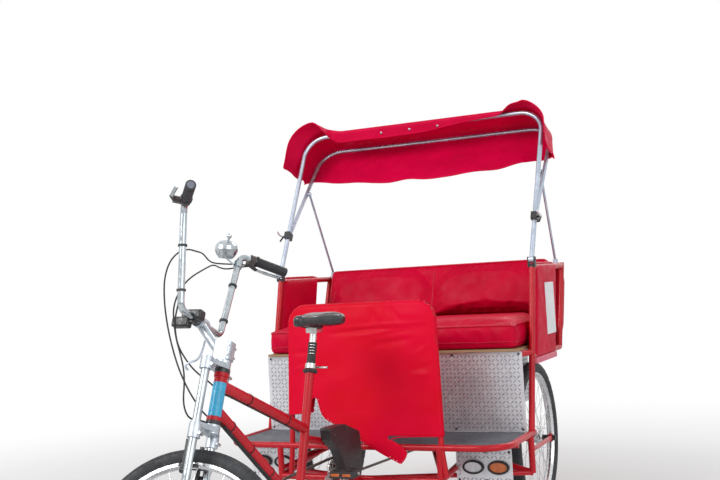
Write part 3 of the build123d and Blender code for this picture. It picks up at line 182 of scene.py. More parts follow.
def finish(name, light, dark, rough, spread=0.12, metal=0.0, cloud=6.0, grain=220.0, bump=0.1,
           kind="noise", coat=0.0, stretch=(1.0, 1.0, 1.0), dirt=None, depth=0.002, specular=0.5):
    """Two-tone material with broken gloss and a fine bump, all on Object coordinates."""
    material = bpy.data.materials.new(name)
    material.use_nodes = True
    tree = material.node_tree
    shader = tree.nodes["Principled BSDF"]
    place = add_node(tree, "TexCoord").outputs["Object"]
    scaled = add_node(tree, "Mapping", {"Scale": stretch}, {"Vector": place}).outputs[0]
    clouds = add_node(tree, "TexNoise", {"Scale": cloud, "Detail": 6.0, "Roughness": 0.62},
                      {"Vector": scaled})
    tones = add_node(tree, "ValToRGB", sources={"Fac": clouds.outputs["Fac"]})
    for element, position, tone in zip(tones.color_ramp.elements, (0.34, 0.62), (dark, light)):
        element.position = position
        element.color = (*tone, 1.0)
    colour = tones.outputs["Color"]
    if dirt:
        specks = add_node(tree, "TexNoise", {"Scale": dirt["scale"], "Detail": 8.0, "Roughness": 0.72},
                          {"Vector": place})
        edge = add_node(tree, "MapRange", {"From Min": dirt["from"], "From Max": dirt["from"] + 0.08},
                        {"Value": specks.outputs["Fac"]})
        blend = add_node(tree, "Mix", {"B": (*dirt["colour"], 1.0)},
                         {"Factor": edge.outputs[0], "A": colour}, data_type="RGBA")
        colour = blend.outputs["Result"]
    gloss = add_node(tree, "TexNoise", {"Scale": cloud * 5.0, "Detail": 4.0}, {"Vector": scaled})
    broken = add_node(tree, "MapRange", {
        "From Min": 0.3, "From Max": 0.7, "To Min": max(0.02, rough - spread),
        "To Max": min(1.0, rough + spread)}, {"Value": gloss.outputs["Fac"]})
    if kind == "cells":
        texture = add_node(tree, "TexVoronoi", feature="DISTANCE_TO_EDGE")
        height = texture.outputs["Distance"]
    elif kind == "waves":
        texture = add_node(tree, "TexWave")
        height = texture.outputs["Fac"]
    else:
        texture = add_node(tree, "TexNoise")
        height = texture.outputs["Fac"]
    texture.inputs["Scale"].default_value = grain
    tree.links.new(scaled, texture.inputs["Vector"])
    relief = add_node(tree, "Bump", {"Strength": bump, "Distance": depth}, {"Height": height})
    tree.links.new(colour, shader.inputs["Base Color"])
    tree.links.new(broken.outputs[0], shader.inputs["Roughness"])
    tree.links.new(relief.outputs[0], shader.inputs["Normal"])
    for name, value in (("Metallic", metal), ("Specular IOR Level", specular), ("Coat Weight", coat),
                        ("Coat Roughness", 0.12)):
        shader.inputs[name].default_value = value
    return material


# %% Paint, metal, rubber and plastic
RED = (0.56, 0.005, 0.017)
RED_DARK = (0.42, 0.003, 0.011)
enamel = finish("red_enamel", RED, RED_DARK, 0.34, specular=0.25, coat=0.15, cloud=5.0, grain=160.0,
                bump=0.05, dirt={"scale": 45.0, "from": 0.66, "colour": (0.10, 0.02, 0.012)})
vinyl = finish("red_vinyl", (0.62, 0.001, 0.036), (0.50, 0.001, 0.026), 0.46, cloud=4.0, kind="cells",
               grain=620.0, bump=0.22, depth=0.0006, specular=0.08)
apron_vinyl = finish("red_apron_vinyl", (0.72, 0.001, 0.034), (0.64, 0.002, 0.014), 0.46, cloud=2.5,
                     kind="cells", grain=620.0, bump=0.22, depth=0.0006, specular=0.08)
piping = finish("red_piping", (0.62, 0.006, 0.04), (0.48, 0.004, 0.025), 0.38, cloud=12.0, grain=300.0,
                specular=0.25)
pale_flange = finish("faded_pink_vinyl", (0.72, 0.16, 0.24), (0.60, 0.10, 0.17), 0.5, cloud=16.0,
                     kind="cells", grain=620.0, bump=0.2, depth=0.0006)
hood_cloth = finish("red_hood_cloth", (0.68, 0.001, 0.056), (0.56, 0.001, 0.042), 0.5, cloud=5.0,
                    grain=70.0, bump=0.22, depth=0.003, specular=0.08)
alloy = finish("hood_tube_alloy", (0.56, 0.62, 0.72), (0.40, 0.46, 0.56), 0.34, metal=0.8, cloud=9.0,
               grain=300.0, bump=0.05)
steel = finish("satin_steel", (0.66, 0.66, 0.66), (0.44, 0.43, 0.42), 0.34, metal=1.0, cloud=14.0)
chrome = finish("worn_chrome", (0.54, 0.59, 0.62), (0.36, 0.40, 0.43), 0.20, spread=0.14, metal=1.0,
                cloud=14.0, bump=0.03)
cast_alloy = finish("cast_alloy", (0.56, 0.61, 0.66), (0.42, 0.46, 0.51), 0.38, metal=0.85, cloud=30.0,
                    grain=500.0, bump=0.08)
tread_plate = finish("tread_plate_alloy", (0.74, 0.75, 0.78), (0.60, 0.61, 0.65), 0.42, metal=0.55,
                     cloud=10.0, grain=260.0, bump=0.06)
# The raised bars' darker alloy is painted shade: it stands in for the shadow along the bars' sides.
tread_bar_shade = finish("tread_bar_painted_shade", (0.36, 0.37, 0.41), (0.24, 0.25, 0.28), 0.36, metal=0.7,
                    cloud=40.0, grain=260.0, bump=0.06)
black_paint = finish("black_paint", (0.028, 0.028, 0.03), (0.016, 0.016, 0.018), 0.38, cloud=20.0)
black_rubber = finish("black_rubber", (0.030, 0.030, 0.031), (0.018, 0.018, 0.018), 0.7, cloud=20.0)
moulded_case = finish("black_moulded_case", (0.026, 0.026, 0.029), (0.014, 0.014, 0.016), 0.46,
                      cloud=14.0, grain=420.0, bump=0.12,
                      dirt={"scale": 30.0, "from": 0.66, "colour": (0.09, 0.08, 0.07)})
grip_rubber = finish("grip_rubber", (0.030, 0.028, 0.034), (0.018, 0.017, 0.020), 0.5, cloud=30.0)
grip_end = finish("grip_end_plug", (0.20, 0.22, 0.27), (0.13, 0.14, 0.18), 0.5, cloud=60.0)
lever_body = finish("lever_body", (0.085, 0.06, 0.06), (0.045, 0.032, 0.034), 0.5, cloud=40.0)
tyre_rubber = finish("dusty_tyre", (0.040, 0.041, 0.046), (0.022, 0.023, 0.027), 0.72, cloud=16.0,
                     dirt={"scale": 26.0, "from": 0.62, "colour": (0.12, 0.108, 0.095)})
rim_metal = finish("rim_and_spokes", (0.72, 0.73, 0.75), (0.55, 0.56, 0.58), 0.26, metal=1.0, cloud=18.0)
oily_steel = finish("oily_chain", (0.24, 0.21, 0.18), (0.10, 0.09, 0.08), 0.42, metal=0.9, cloud=60.0)
floor_mat = finish("floor_mat_rubber", (0.125, 0.135, 0.16), (0.065, 0.07, 0.085), 0.6, cloud=7.0,
                   grain=300.0, dirt={"scale": 18.0, "from": 0.62, "colour": (0.22, 0.20, 0.17)})
plywood = finish("plywood", (0.42, 0.27, 0.14), (0.30, 0.18, 0.09), 0.6, cloud=3.0, grain=60.0,
                 stretch=(1.0, 9.0, 9.0))
sign_sheet = finish("blank_white_sheet", (0.80, 0.81, 0.83), (0.70, 0.71, 0.74), 0.45, cloud=7.0)
blue_band = finish("blank_blue_band", (0.03, 0.42, 0.66), (0.02, 0.30, 0.55), 0.35, cloud=60.0, coat=0.3)
pedal_plastic = finish("pedal_plastic", (0.035, 0.035, 0.037), (0.020, 0.020, 0.021), 0.5, cloud=30.0)
saddle_vinyl = finish("saddle_vinyl", (0.024, 0.026, 0.030), (0.012, 0.013, 0.016), 0.30, cloud=9.0,
                      kind="cells", grain=700.0, bump=0.15, depth=0.0005, coat=0.25)
clear_lens = finish("clear_lens", (0.86, 0.88, 0.92), (0.66, 0.69, 0.74), 0.14, cloud=30.0, kind="waves",
                    grain=60.0, bump=0.5, coat=0.8)
amber_lens = finish("amber_lens", (0.72, 0.16, 0.010), (0.46, 0.07, 0.006), 0.18, cloud=30.0, kind="waves",
                    grain=60.0, bump=0.5, coat=0.8)
red_lens = finish("red_lens", (0.42, 0.008, 0.008), (0.26, 0.004, 0.004), 0.18, cloud=30.0, kind="waves",
                  grain=60.0, bump=0.5, coat=0.8)
print("finishes", len(bpy.data.materials))

# %% [markdown]
# ## Places and helpers
# Sizes are written in millimetres from the rear axle's line, as a maker measures the vehicle, and
# `spot` turns them into metres of the shared frame. A piece starts as a bmesh from the operators
# and ends as an object that rides on a body.

# %% Sizes that several cells share
# Each foot, top or bracket place is (y, z).
POST_X = 603.0
POST_FOOT = (-425.0, 430.0)
POST_TOP = (-262.0, 1090.0)
BACK_FOOT = (118.0, 725.0)
BACK_TOP = (255.0, 1090.0)
PANEL_LOW = 709.0
PANEL_TOP = 1107.0
BOX_FRONT_Y = -446.0
BOX_SIDE_X = 458.0
VALANCE_Y = -640.0
TAIL_PLATE_Y = 134.0
INNER_LAMP_X = 422.0
OUTER_LAMP_X = 524.0
LAMP_Z = 325.0
TAIL_LAMP_X = 330.0
TAIL_LAMP_Z = 650.0
SEAT_TILT = math.radians(17.6)
BRACKET_PLACE = (-1300.0, 305.0)
PROUD = 0.3

# %% Helpers for places, blocks and discs


def spot(x, y, z):
    """A place in millimetres from the rear axle's line, in metres of the shared frame."""
    return Vector((x * 0.001, y * 0.001 + REAR_AXLE_Y, z * 0.001))


def mm(x, y, z):
    """A local place or size in millimetres, as metres."""
    return Vector((x, y, z)) * 0.001


def smooth_step(low, high, value):
    """0 below low, 1 above high, and an easy curve between."""
    share = min(1.0, max(0.0, (value - low) / (high - low)))
    return share * share * (3.0 - 2.0 * share)


def block(shape, low, high, place=None):
    """Add a box between two corners in metres."""
    middle = (low + high) / 2
    size = high - low
    matrix = Matrix.Translation(middle) @ Matrix.Diagonal((*size, 1.0))
    made = bmesh.ops.create_cube(shape, size=1.0, matrix=(place or Matrix()) @ matrix)
    return made["verts"]


def disc(shape, place, radius, depth, segments=20, top=None):
    """Add a closed cylinder or cone whose axis is the place's z."""
    made = bmesh.ops.create_cone(
        shape, cap_ends=True, segments=segments, radius1=radius,
        radius2=radius if top is None else top, depth=depth, matrix=place,
    )
    return made["verts"]


def toward(place, direction):
    """A matrix at a place whose z points along a direction."""
    return Matrix.Translation(place) @ direction.to_track_quat("Z", "Y").to_matrix().to_4x4()


def round_edges(shape, verts, width, segments=2):
    """Bevel the edges between the given corners."""
    chosen = set(verts)
    edges = [edge for edge in shape.edges if edge.verts[0] in chosen and edge.verts[1] in chosen]
    bmesh.ops.bevel(shape, geom=edges, offset=width, offset_type="OFFSET", segments=segments,
                    profile=0.5, affect="EDGES", material=-1, clamp_overlap=True)

# %% Helpers for turned, joined and repeated shapes


def rounded_block(shape, low, high, width, segments=2, place=None):
    """Add a box with rounded edges between two corners in metres."""
    verts = block(shape, low, high, place)
    round_edges(shape, verts, width, segments)


def turned_ring(outline, steps=48):
    """Spin a closed outline of (radius, height) in metres round the z axis."""
    shape = bmesh.new()
    verts = [shape.verts.new((radius, 0.0, height)) for radius, height in outline]
    edges = [shape.edges.new((verts[i], verts[(i + 1) % len(verts)])) for i in range(len(verts))]
    bmesh.ops.spin(shape, geom=verts + edges, cent=(0, 0, 0), axis=(0, 0, 1), dvec=(0, 0, 0),
                   angle=math.tau, steps=steps, use_merge=True, use_duplicate=False)
    bmesh.ops.recalc_face_normals(shape, faces=shape.faces)
    return shape


def join(shape, other, place=None):
    """Add another bmesh to this one at a place."""
    data = bpy.data.meshes.new("pattern")
    other.to_mesh(data)
    before = len(shape.verts)
    shape.from_mesh(data)
    bpy.data.meshes.remove(data)
    if place is not None:
        shape.verts.ensure_lookup_table()
        bmesh.ops.transform(shape, matrix=place, verts=shape.verts[before:])
    return shape


def repeat(pattern, places):
    """One bmesh with a copy of a small shape at each place."""
    data = bpy.data.meshes.new("pattern")
    pattern.to_mesh(data)
    shape = bmesh.new()
    for place in places:
        copy = data.copy()
        copy.transform(place)
        shape.from_mesh(copy)
        bpy.data.meshes.remove(copy)
    bpy.data.meshes.remove(data)
    return shape

# %% Helpers for pieces and tubes


def piece(name, shape, material, body, stands_for=(), sharp=38.0, closed=True):
    """Make a bmesh a finished piece that rides on a body; with no body it is left to blend."""
    if closed:
        bmesh.ops.recalc_face_normals(shape, faces=shape.faces)
    data = bpy.data.meshes.new(name)
    shape.to_mesh(data)
    shape.free()
    data.materials.append(material)
    data.shade_smooth()
    data.set_sharp_from_angle(angle=math.radians(sharp))
    made = bpy.data.objects.new(name, data)
    bpy.context.collection.objects.link(made)
    if body:
        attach(made, body)
    if stands_for:
        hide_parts(*stands_for)
    return made


def subdivide(made, name, levels):
    """Round a piece off by a subdivision surface."""
    modifier = made.modifiers.new(name, "SUBSURF")
    modifier.levels = levels
    modifier.render_levels = levels


def thicken(made, thickness):
    """Give a sheet its thickness, half to each side."""
    wall = made.modifiers.new("wall", "SOLIDIFY")
    wall.thickness = thickness
    wall.offset = 0.0


def soft_tube(routes, radius, closed=False):
    """A bmesh of round tubes along smooth curves that follow the given routes."""
    curve = bpy.data.curves.new("route", "CURVE")
    curve.dimensions = "3D"
    curve.resolution_u = 6
    curve.bevel_depth = radius
    curve.bevel_resolution = 2
    curve.use_fill_caps = True
    for route in routes:
        spline = curve.splines.new("NURBS")
        spline.points.add(len(route) - 1)
        for point, place in zip(spline.points, route):
            point.co = (*place, 1.0)
        spline.order_u = 3
        spline.use_endpoint_u = not closed
        spline.use_cyclic_u = closed
    holder = bpy.data.objects.new("route", curve)
    bpy.context.collection.objects.link(holder)
    bpy.context.view_layer.update()
    data = bpy.data.meshes.new_from_object(holder.evaluated_get(bpy.context.evaluated_depsgraph_get()))
    bpy.data.objects.remove(holder)
    bpy.data.curves.remove(curve)
    shape = bmesh.new()
    shape.from_mesh(data)
    bpy.data.meshes.remove(data)
    bmesh.ops.remove_doubles(shape, verts=shape.verts, dist=1e-6)
    return shape

# %% Frames of the steering
HEAD = Matrix.Translation(spot(0, -1770, 742)) @ Matrix.Rotation(math.radians(-23.0), 4, "X")
FORK = HEAD @ Matrix.Rotation(math.radians(-80.0), 4, "Z")
BARS = HEAD @ Matrix.Rotation(math.radians(-86.0), 4, "Z")
TYRE_LOW, TYRE_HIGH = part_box("front_tyre")
FRONT_WHEEL = Matrix.Translation((Vector(TYRE_LOW) + Vector(TYRE_HIGH)) / 2) @ FORK.to_3x3().to_4x4()
print("front wheel", tuple(round(v, 3) for v in FRONT_WHEEL.translation))

# %% [markdown]
# ## Tyres
# A tyre's tread is rows of small blocks round its crown. One cross-section is spun into the
# carcass, and the crown's faces that carry a block are inset and lifted, row by row in a brick
# pattern. The crown starts that much lower, so the tyre keeps its size.

# %% Tyres with their tread
REAR_WHEEL_X = 497
REAR_RADIUS = 0.335
REAR_SECTION = 0.054
FRONT_RADIUS = 0.321
FRONT_SECTION = 0.048
TREAD_LIFT = 0.0016
TYRE_STEPS = 132
SECTION_ANGLES = (-142, -124, -106, -90, -74, -58, -44, -30, -17, -5,
                  5, 17, 30, 44, 58, 74, 90, 106, 124, 142)


def treaded_tyre(radius, section):
    """A tyre about the x axis with blocks on its crown."""
    shape = bmesh.new()
    half = section / 2 - TREAD_LIFT
    ring = radius - section / 2
    verts = []
    for angle in SECTION_ANGLES:
        lean = math.radians(angle)
        verts.append(shape.verts.new((math.sin(lean) * half, 0.0, ring + math.cos(lean) * half)))
    edges = [shape.edges.new((verts[i], verts[(i + 1) % len(verts)])) for i in range(len(verts))]
    bmesh.ops.spin(shape, geom=verts + edges, cent=(0, 0, 0), axis=(1, 0, 0), dvec=(0, 0, 0),
                   angle=math.tau, steps=TYRE_STEPS, use_merge=True, use_duplicate=False)
    bmesh.ops.recalc_face_normals(shape, faces=shape.faces)
    blocks = []
    for face in shape.faces:
        middle = face.calc_center_median()
        reach = math.hypot(middle.y, middle.z)
        lean = math.degrees(math.atan2(middle.x, reach - ring))
        if abs(lean) > 60 or reach < ring:
            continue
        row = round(lean / 12.5)
        step = int((math.atan2(middle.y, middle.z) / math.tau % 1.0) * TYRE_STEPS)
        if (step + 2 * (row % 2)) % 4 != 0:
            blocks.append(face)
    bmesh.ops.inset_individual(shape, faces=blocks, thickness=0.0011, depth=TREAD_LIFT, use_even_offset=True)
    return shape


for side, x in (("left", REAR_WHEEL_X), ("right", -REAR_WHEEL_X)):
    tyre = treaded_tyre(REAR_RADIUS, REAR_SECTION)
    hub_place = Matrix.Translation(spot(x, 0, REAR_RADIUS * 1000))
    bmesh.ops.transform(tyre, matrix=hub_place, verts=tyre.verts)
    piece(f"treaded_tyre_{side}", tyre, tyre_rubber, f"rear_{side}_body", [f"rear_tyre_{side}"], closed=False)
tyre = treaded_tyre(FRONT_RADIUS, FRONT_SECTION)
bmesh.ops.transform(tyre, matrix=FRONT_WHEEL, verts=tyre.verts)
front_tread = piece("treaded_tyre_front", tyre, tyre_rubber, "front_wheel_body", ["front_tyre"], closed=False)
print("tyre faces", len(front_tread.data.polygons))

# %% [markdown]
# ## Chains
# A roller chain is pins at an even pitch with pairs of plates between them. The chain's path is
# two straight runs and two arcs round the sprockets. One inner and one outer link are modelled and
# repeated along that path, so every link lies on the sprockets as it should.

# %% Chain links
CHAIN_PITCH = 12.7
COUNTERSHAFT = (-935, 360)
REAR_AXLE = (0, 335)


def on_circle(centre, radius, angle):
    """A point on a circle in the chain's plane."""
    return (centre[0] + radius * math.cos(angle), centre[1] + radius * math.sin(angle))


def chain_path(first, first_radius, second, second_radius):
    """Points and headings along a chain's closed loop in (y, z), one for each pin."""
    dy = second[0] - first[0]
    dz = second[1] - first[1]
    distance = math.hypot(dy, dz)
    heading = math.atan2(dz, dy)
    spread = math.acos((first_radius - second_radius) / distance)
    run = math.sqrt(distance ** 2 - (first_radius - second_radius) ** 2)
    first_arc = first_radius * (math.tau - 2 * spread)
    second_arc = second_radius * 2 * spread
    length = 2 * run + first_arc + second_arc
    count = round(length / CHAIN_PITCH)
    pins = []
    for i in range(count):
        left = length * i / count
        if left < second_arc:
            angle = heading - spread + left / second_radius
            pins.append(on_circle(second, second_radius, angle))
            continue
        left -= second_arc
        angle = heading + spread
        if left < run:
            share = left / run
            start = on_circle(second, second_radius, angle)
            end = on_circle(first, first_radius, angle)
            pins.append((start[0] + (end[0] - start[0]) * share, start[1] + (end[1] - start[1]) * share))
            continue
        left -= run
        if left < first_arc:
            angle = heading + spread + left / first_radius
            pins.append(on_circle(first, first_radius, angle))
            continue
        left -= first_arc
        angle = heading - spread
        share = left / run
        start = on_circle(first, first_radius, angle)
        end = on_circle(second, second_radius, angle)
        pins.append((start[0] + (end[0] - start[0]) * share, start[1] + (end[1] - start[1]) * share))
    return pins


def chain_link(plate_x):
    """One link along y: two plates with round ends, a roller and its pin."""
    shape = bmesh.new()
    for side in (-1, 1):
        plate = block(shape, mm(side * plate_x - 0.6, -10.4, -4.2), mm(side * plate_x + 0.6, 10.4, 4.2))
        upright = [edge for edge in shape.edges if all(v in plate for v in edge.verts)
                   and abs((edge.verts[0].co - edge.verts[1].co).x) > 0.0005]
        bmesh.ops.bevel(shape, geom=upright, offset=0.0036, offset_type="OFFSET", segments=2, profile=0.5,
                        affect="EDGES", material=-1)
    sideways = Matrix.Translation(mm(0, CHAIN_PITCH / 2, 0)) @ Matrix.Rotation(math.pi / 2, 4, "Y")
    disc(shape, sideways, 0.0038, 0.0046, segments=8)
    disc(shape, sideways, 0.0018, 0.0084, segments=6)
    return shape


def linked_chain(name, pins, x, body, node):
    """Place alternate links between neighbouring pins."""
    shape = bmesh.new()
    for parity, plate_x in ((0, 2.7), (1, 3.9)):
        link = chain_link(plate_x)
        places = []
        for i in range(parity, len(pins), 2):
            here = pins[i]
            after = pins[(i + 1) % len(pins)]
            angle = math.atan2(after[1] - here[1], after[0] - here[0])
            middle = spot(x, (here[0] + after[0]) / 2, (here[1] + after[1]) / 2)
            places.append(Matrix.Translation(middle) @ Matrix.Rotation(angle, 4, "X"))
        run = repeat(link, places)
        join(shape, run)
        run.free()
        link.free()
    return piece(name, shape, oily_steel, body, [node])


front_pins = chain_path(BRACKET_PLACE, 93.5, COUNTERSHAFT, 43.5)
rear_pins = chain_path(COUNTERSHAFT, 35.5, REAR_AXLE, 45.5)
linked_chain("front_chain_links", front_pins, -45, "frame", "front_chain")
linked_chain("rear_chain_links", rear_pins, -30, "frame", "rear_chain")
print("chain links", len(front_pins), len(rear_pins))

# %% [markdown]
# ## Hood cloth
# The hood is one sheet of coated cloth sewn over two bows. It is held in the middle of the front
# bow by a folded band with snaps, flares past the bow at both corners, hangs as side flaps, and
# closes behind in the plane of the rear bow. It is laid out as a grid: across the grid is the way
# over a bow from flap to flap, and down the grid is the way from the front edge to the rear hem.

# %% Hood over the bows
BOW_HALF = 617.0
BOW_CORNER = 124.0
FRONT_BOW = (91.0, 1818.0, math.radians(27.5))
REAR_BOW = (262.0, 1760.0, math.radians(44.0))
FRONT_MARGIN = 74.0
FLAP_FRONT = 196.0
FLAP_REAR = 226.0
LONGER_RIGHT = 26.0
REAR_DROP = 286.0
HEM_RISE = 42.0
HOOD_ACROSS = 150
MARGIN_ROWS = 10
TOP_ROWS = 13
REAR_ROWS = 14


def over_bow(along, station):
    """Cloth point at a distance across, between the front bow (0) and the rear bow (1)."""
    side = 1.0 if along >= 0 else -1.0
    reach = abs(along)
    lean = FRONT_BOW[2] + (REAR_BOW[2] - FRONT_BOW[2]) * station
    y = FRONT_BOW[0] + (REAR_BOW[0] - FRONT_BOW[0]) * station
    z = FRONT_BOW[1] + (REAR_BOW[1] - FRONT_BOW[1]) * station
    straight = BOW_HALF - BOW_CORNER
    arc = BOW_CORNER * math.pi / 2
    if reach < straight:
        x, drop = reach, 0.0
    elif reach < straight + arc:
        bend = (reach - straight) / BOW_CORNER
        x = straight + BOW_CORNER * math.sin(bend)
        drop = BOW_CORNER * (1 - math.cos(bend))
    else:
        rest = reach - straight - arc
        flare = 0.34 if side < 0 else 0.16
        x = BOW_HALF + flare * rest
        drop = BOW_CORNER + rest * math.sqrt(1 - flare * flare)
    sag = 11.0 * math.sin(math.pi * min(1.0, max(0.0, station)))
    return Vector((side * x, y - math.sin(lean) * (drop + sag * 0.3), z - math.cos(lean) * drop - sag))


def flap_reach(station):
    """Distance across from the middle to the flap's hem at a station."""
    straight = BOW_HALF - BOW_CORNER + BOW_CORNER * math.pi / 2
    return straight + FLAP_FRONT + (FLAP_REAR - FLAP_FRONT) * station - BOW_CORNER


def margin_share(along):
    """How much of the full front margin the cut has at a distance across."""
    return 1.0 - 0.45 * smooth_step(-80.0, 380.0, along) * (1.0 - smooth_step(380.0, 560.0, along))

# %% Rear hem


def rear_hem(share):
    """Place of the rear hem at a share across, in the plane of the rear bow."""
    along = share * flap_reach(1.0)
    straight = BOW_HALF - BOW_CORNER
    reach = abs(along)
    middle_drop = REAR_DROP - HEM_RISE
    if reach < straight:
        hem_x = reach
        hem_drop = REAR_DROP - HEM_RISE * (reach / straight) ** 2
    else:
        past = (reach - straight) / (flap_reach(1.0) - straight)
        hem_x = straight + (abs(over_bow(along, 1.0).x) - straight) * past
        hem_drop = middle_drop + (FLAP_REAR + 2.0 - middle_drop) * past
    sine, cosine = math.sin(REAR_BOW[2]), math.cos(REAR_BOW[2])
    y, z = REAR_BOW[0] - sine * hem_drop, REAR_BOW[1] - cosine * hem_drop
    return Vector((math.copysign(hem_x, share), y, z))


# %% Every point of the hood


def hood_cloth_point(share, row):
    """Point of the sheet: share runs from -1 to 1 across, row counts down from the front edge."""
    wave = noise.noise(Vector((share * 7.0, row * 0.16, 3.1)))
    if row <= MARGIN_ROWS:
        along = share * flap_reach(0.0) - LONGER_RIGHT * smooth_step(0.75, 1.0, -share)
        base = over_bow(along, 0.0)
        out = FRONT_MARGIN * margin_share(along) * (1 - row / MARGIN_ROWS)
        folded = 1.0 - (smooth_step(340.0, 470.0, along) if along > 0 else smooth_step(420.0, 520.0, -along))
        slope = math.radians(19.0 if abs(along) < 520 else 27.0)
        turn_down = math.radians(106.0) * folded
        bend_radius = 22.0
        bend_length = bend_radius * turn_down
        if turn_down > 0.01 and out < bend_length:
            angle = out / bend_radius
            forward, lift = bend_radius * math.sin(angle), -bend_radius * (1 - math.cos(angle))
        else:
            rest = out - bend_length
            forward = bend_radius * math.sin(turn_down) + rest * math.cos(turn_down)
            lift = -bend_radius * (1 - math.cos(turn_down)) - rest * math.sin(turn_down)
        y = -forward * math.cos(slope) - lift * math.sin(slope)
        z = forward * math.sin(slope) + lift * math.cos(slope)
        corner = smooth_step(400.0, 500.0, abs(along)) * (1.0 - smooth_step(600.0, 720.0, abs(along)))
        highest = (6.0 if along > 0 else 18.0) * corner
        lift_up = highest * math.sin(math.pi * (0.25 + 0.6 * out / FRONT_MARGIN))
        bend = min(math.pi / 2, max(0.0, (abs(along) - BOW_HALF + BOW_CORNER) / BOW_CORNER))
        stiff = smooth_step(440.0, 560.0, abs(along)) * (1.0 - smooth_step(660.0, 800.0, abs(along)))
        stand = out / FRONT_MARGIN * stiff * (6.0 if along > 0 else 34.0)
        stand_out = Vector((math.copysign(math.sin(bend), along), 0.0, math.cos(bend))) * stand
        flare = 0.16 * out * smooth_step(560.0, 700.0, abs(along)) * (1 if share > 0 else -1)
        ripple = (out / FRONT_MARGIN) ** 2 * (-10.0 + 5.0 * math.sin(share * 21.0 + 0.6) + 7.0 * wave)
        waved = Vector((flare, y + ripple * folded, z + lift_up + ripple * (1 - folded) * 0.8))
        return base + waved + stand_out
    if row <= MARGIN_ROWS + TOP_ROWS:
        station = (row - MARGIN_ROWS) / TOP_ROWS
        along = share * flap_reach(station) - LONGER_RIGHT * (1 - station) * smooth_step(0.75, 1.0, -share)
        base = over_bow(along, station)
        corner = smooth_step(400.0, 520.0, abs(along)) * (1.0 - smooth_step(620.0, 760.0, abs(along)))
        rise = (12.0 if along > 0 else 20.0) * corner * math.cos(math.pi / 2 * station)
        loose = math.sin(math.pi * station)
        past_bow = 5.0 * smooth_step(0.8, 1.0, station)
        return base + Vector((0.0, past_bow, rise + loose * 5.0 * wave))
    down = (row - MARGIN_ROWS - TOP_ROWS) / REAR_ROWS
    along = share * flap_reach(1.0)
    top = over_bow(along, 1.0)
    cosine, sine = math.cos(REAR_BOW[2]), math.sin(REAR_BOW[2])
    hem = rear_hem(share)
    place = top.lerp(hem, down)
    belly = math.sin(math.pi * down) * 9.0 + down * down * (5.0 * math.sin(share * 17.0) + 8.0 * wave)
    belly += 5.0 + 13.0 * smooth_step(0.0, 0.07, down)
    return place + Vector((0.0, cosine * belly, -sine * belly))

# %% Hood sheet and hem
hood_rows = MARGIN_ROWS + TOP_ROWS + REAR_ROWS
hood = bmesh.new()
bmesh.ops.create_grid(hood, x_segments=HOOD_ACROSS, y_segments=hood_rows, size=1.0)
for vert in hood.verts:
    share = vert.co.x
    row = (1.0 - vert.co.y) / 2.0 * hood_rows
    place = hood_cloth_point(share, row)
    vert.co = spot(*place)
bmesh.ops.remove_doubles(hood, verts=hood.verts, dist=0.0004)
bmesh.ops.smooth_vert(hood, verts=[v for v in hood.verts if not v.is_boundary], factor=0.5, use_axis_x=True,
                      use_axis_y=True, use_axis_z=True)
hood_area = sum(face.calc_area() for face in hood.faces)
rim_loop = [edge for edge in hood.edges if edge.is_boundary]
chain_of = {}
for edge in rim_loop:
    for vert in edge.verts:
        chain_of.setdefault(vert, []).append(edge.other_vert(vert))
first_vert = rim_loop[0].verts[0]
hem_route = [first_vert]
while True:
    ways = [v for v in chain_of[hem_route[-1]] if v not in hem_route[-3:]]
    if not ways or ways[0] is first_vert or len(hem_route) > len(rim_loop):
        break
    hem_route.append(ways[0])
hem_places = [vert.co.copy() for vert in hem_route]
print("hood area", round(hood_area, 3), "hem points", len(hem_places), "of", len(rim_loop))
hood_sheet = piece("hood_sheet", hood, hood_cloth, "hood", ["hood_cover"], sharp=80, closed=False)
subdivide(hood_sheet, "finer", 1)
thicken(hood_sheet, 0.0022)
hood_hem = piece("hood_hem", soft_tube([hem_places[::2]], 0.0030, closed=True), hood_cloth, "hood", sharp=80)

# %% [markdown]
# ## Snaps on the front band
# Three pressed metal snaps hold the band closed. Each is a small stepped button, spun from its
# outline and set on the cloth where a line from the front meets it.

# %% Snaps
hood_surface = BVHTree.FromObject(hood_sheet, bpy.context.evaluated_depsgraph_get())
snap = turned_ring([(0.0005, 0.0034), (0.004, 0.0030), (0.0058, 0.0018), (0.0066, 0.0), (0.0066, -0.001),
                    (0.0005, -0.001)], steps=16)
snap_places = []
for x in (-196.0, -46.0, 96.0):
    start = spot(x, -200.0, 1786.0)
    found, normal, _, _ = hood_surface.ray_cast(start, Vector((0, 1, 0)))
    if found is not None:
        snap_places.append(toward(found, -normal if normal.y > 0 else normal))
hood_snaps = piece("hood_snaps", repeat(snap, snap_places), chrome, "hood")
print("snaps", len(snap_places))

# %% [markdown]
# ## Apron cover
# The cover behind the saddle is a sleeve of vinyl pulled over a tube hoop. In front it is cut on a
# long diagonal that ends in a hanging point. A fine grid is laid over its whole outline, the points
# near the outline are moved onto it, and what lies outside is deleted. The grid's edge then rolls
# round the hoop to meet the back of the sleeve.

# %% Apron outline
HOOP_FOOT = 424.3
HOOP_RISE = 547.7
HOOP_LEAN = 55.0
APRON_FOOT = 469.0
APRON_POINT = 364.0
APRON_SPAN = 670.0
APRON_SWELL = 5.0
APRON_TOP = 988.0
APRON_RIGHT = -304.0
APRON_ROUND = 78.0
APRON_GAP = 15.0
APRON_CELL = 7.0
FRONT_HEM = [(122, 470), (200, 430), (224, 404), (196, 364), (179, 373), (97, 411), (-28, 484), (-92, 515),
             (-133, 536), (-151, 566), (-162, 612), (-176, 618), (-190, 612), (-198, 552), (-304, 548)]


def apron_y(z):
    """Y of the hoop's plane at a height."""
    return -800.0 + HOOP_LEAN * (z - HOOP_FOOT) / HOOP_RISE


def apron_left(z):
    """X of the cover's left edge at a height."""
    return 369.3 - 23.0 * (z - HOOP_FOOT) / HOOP_RISE


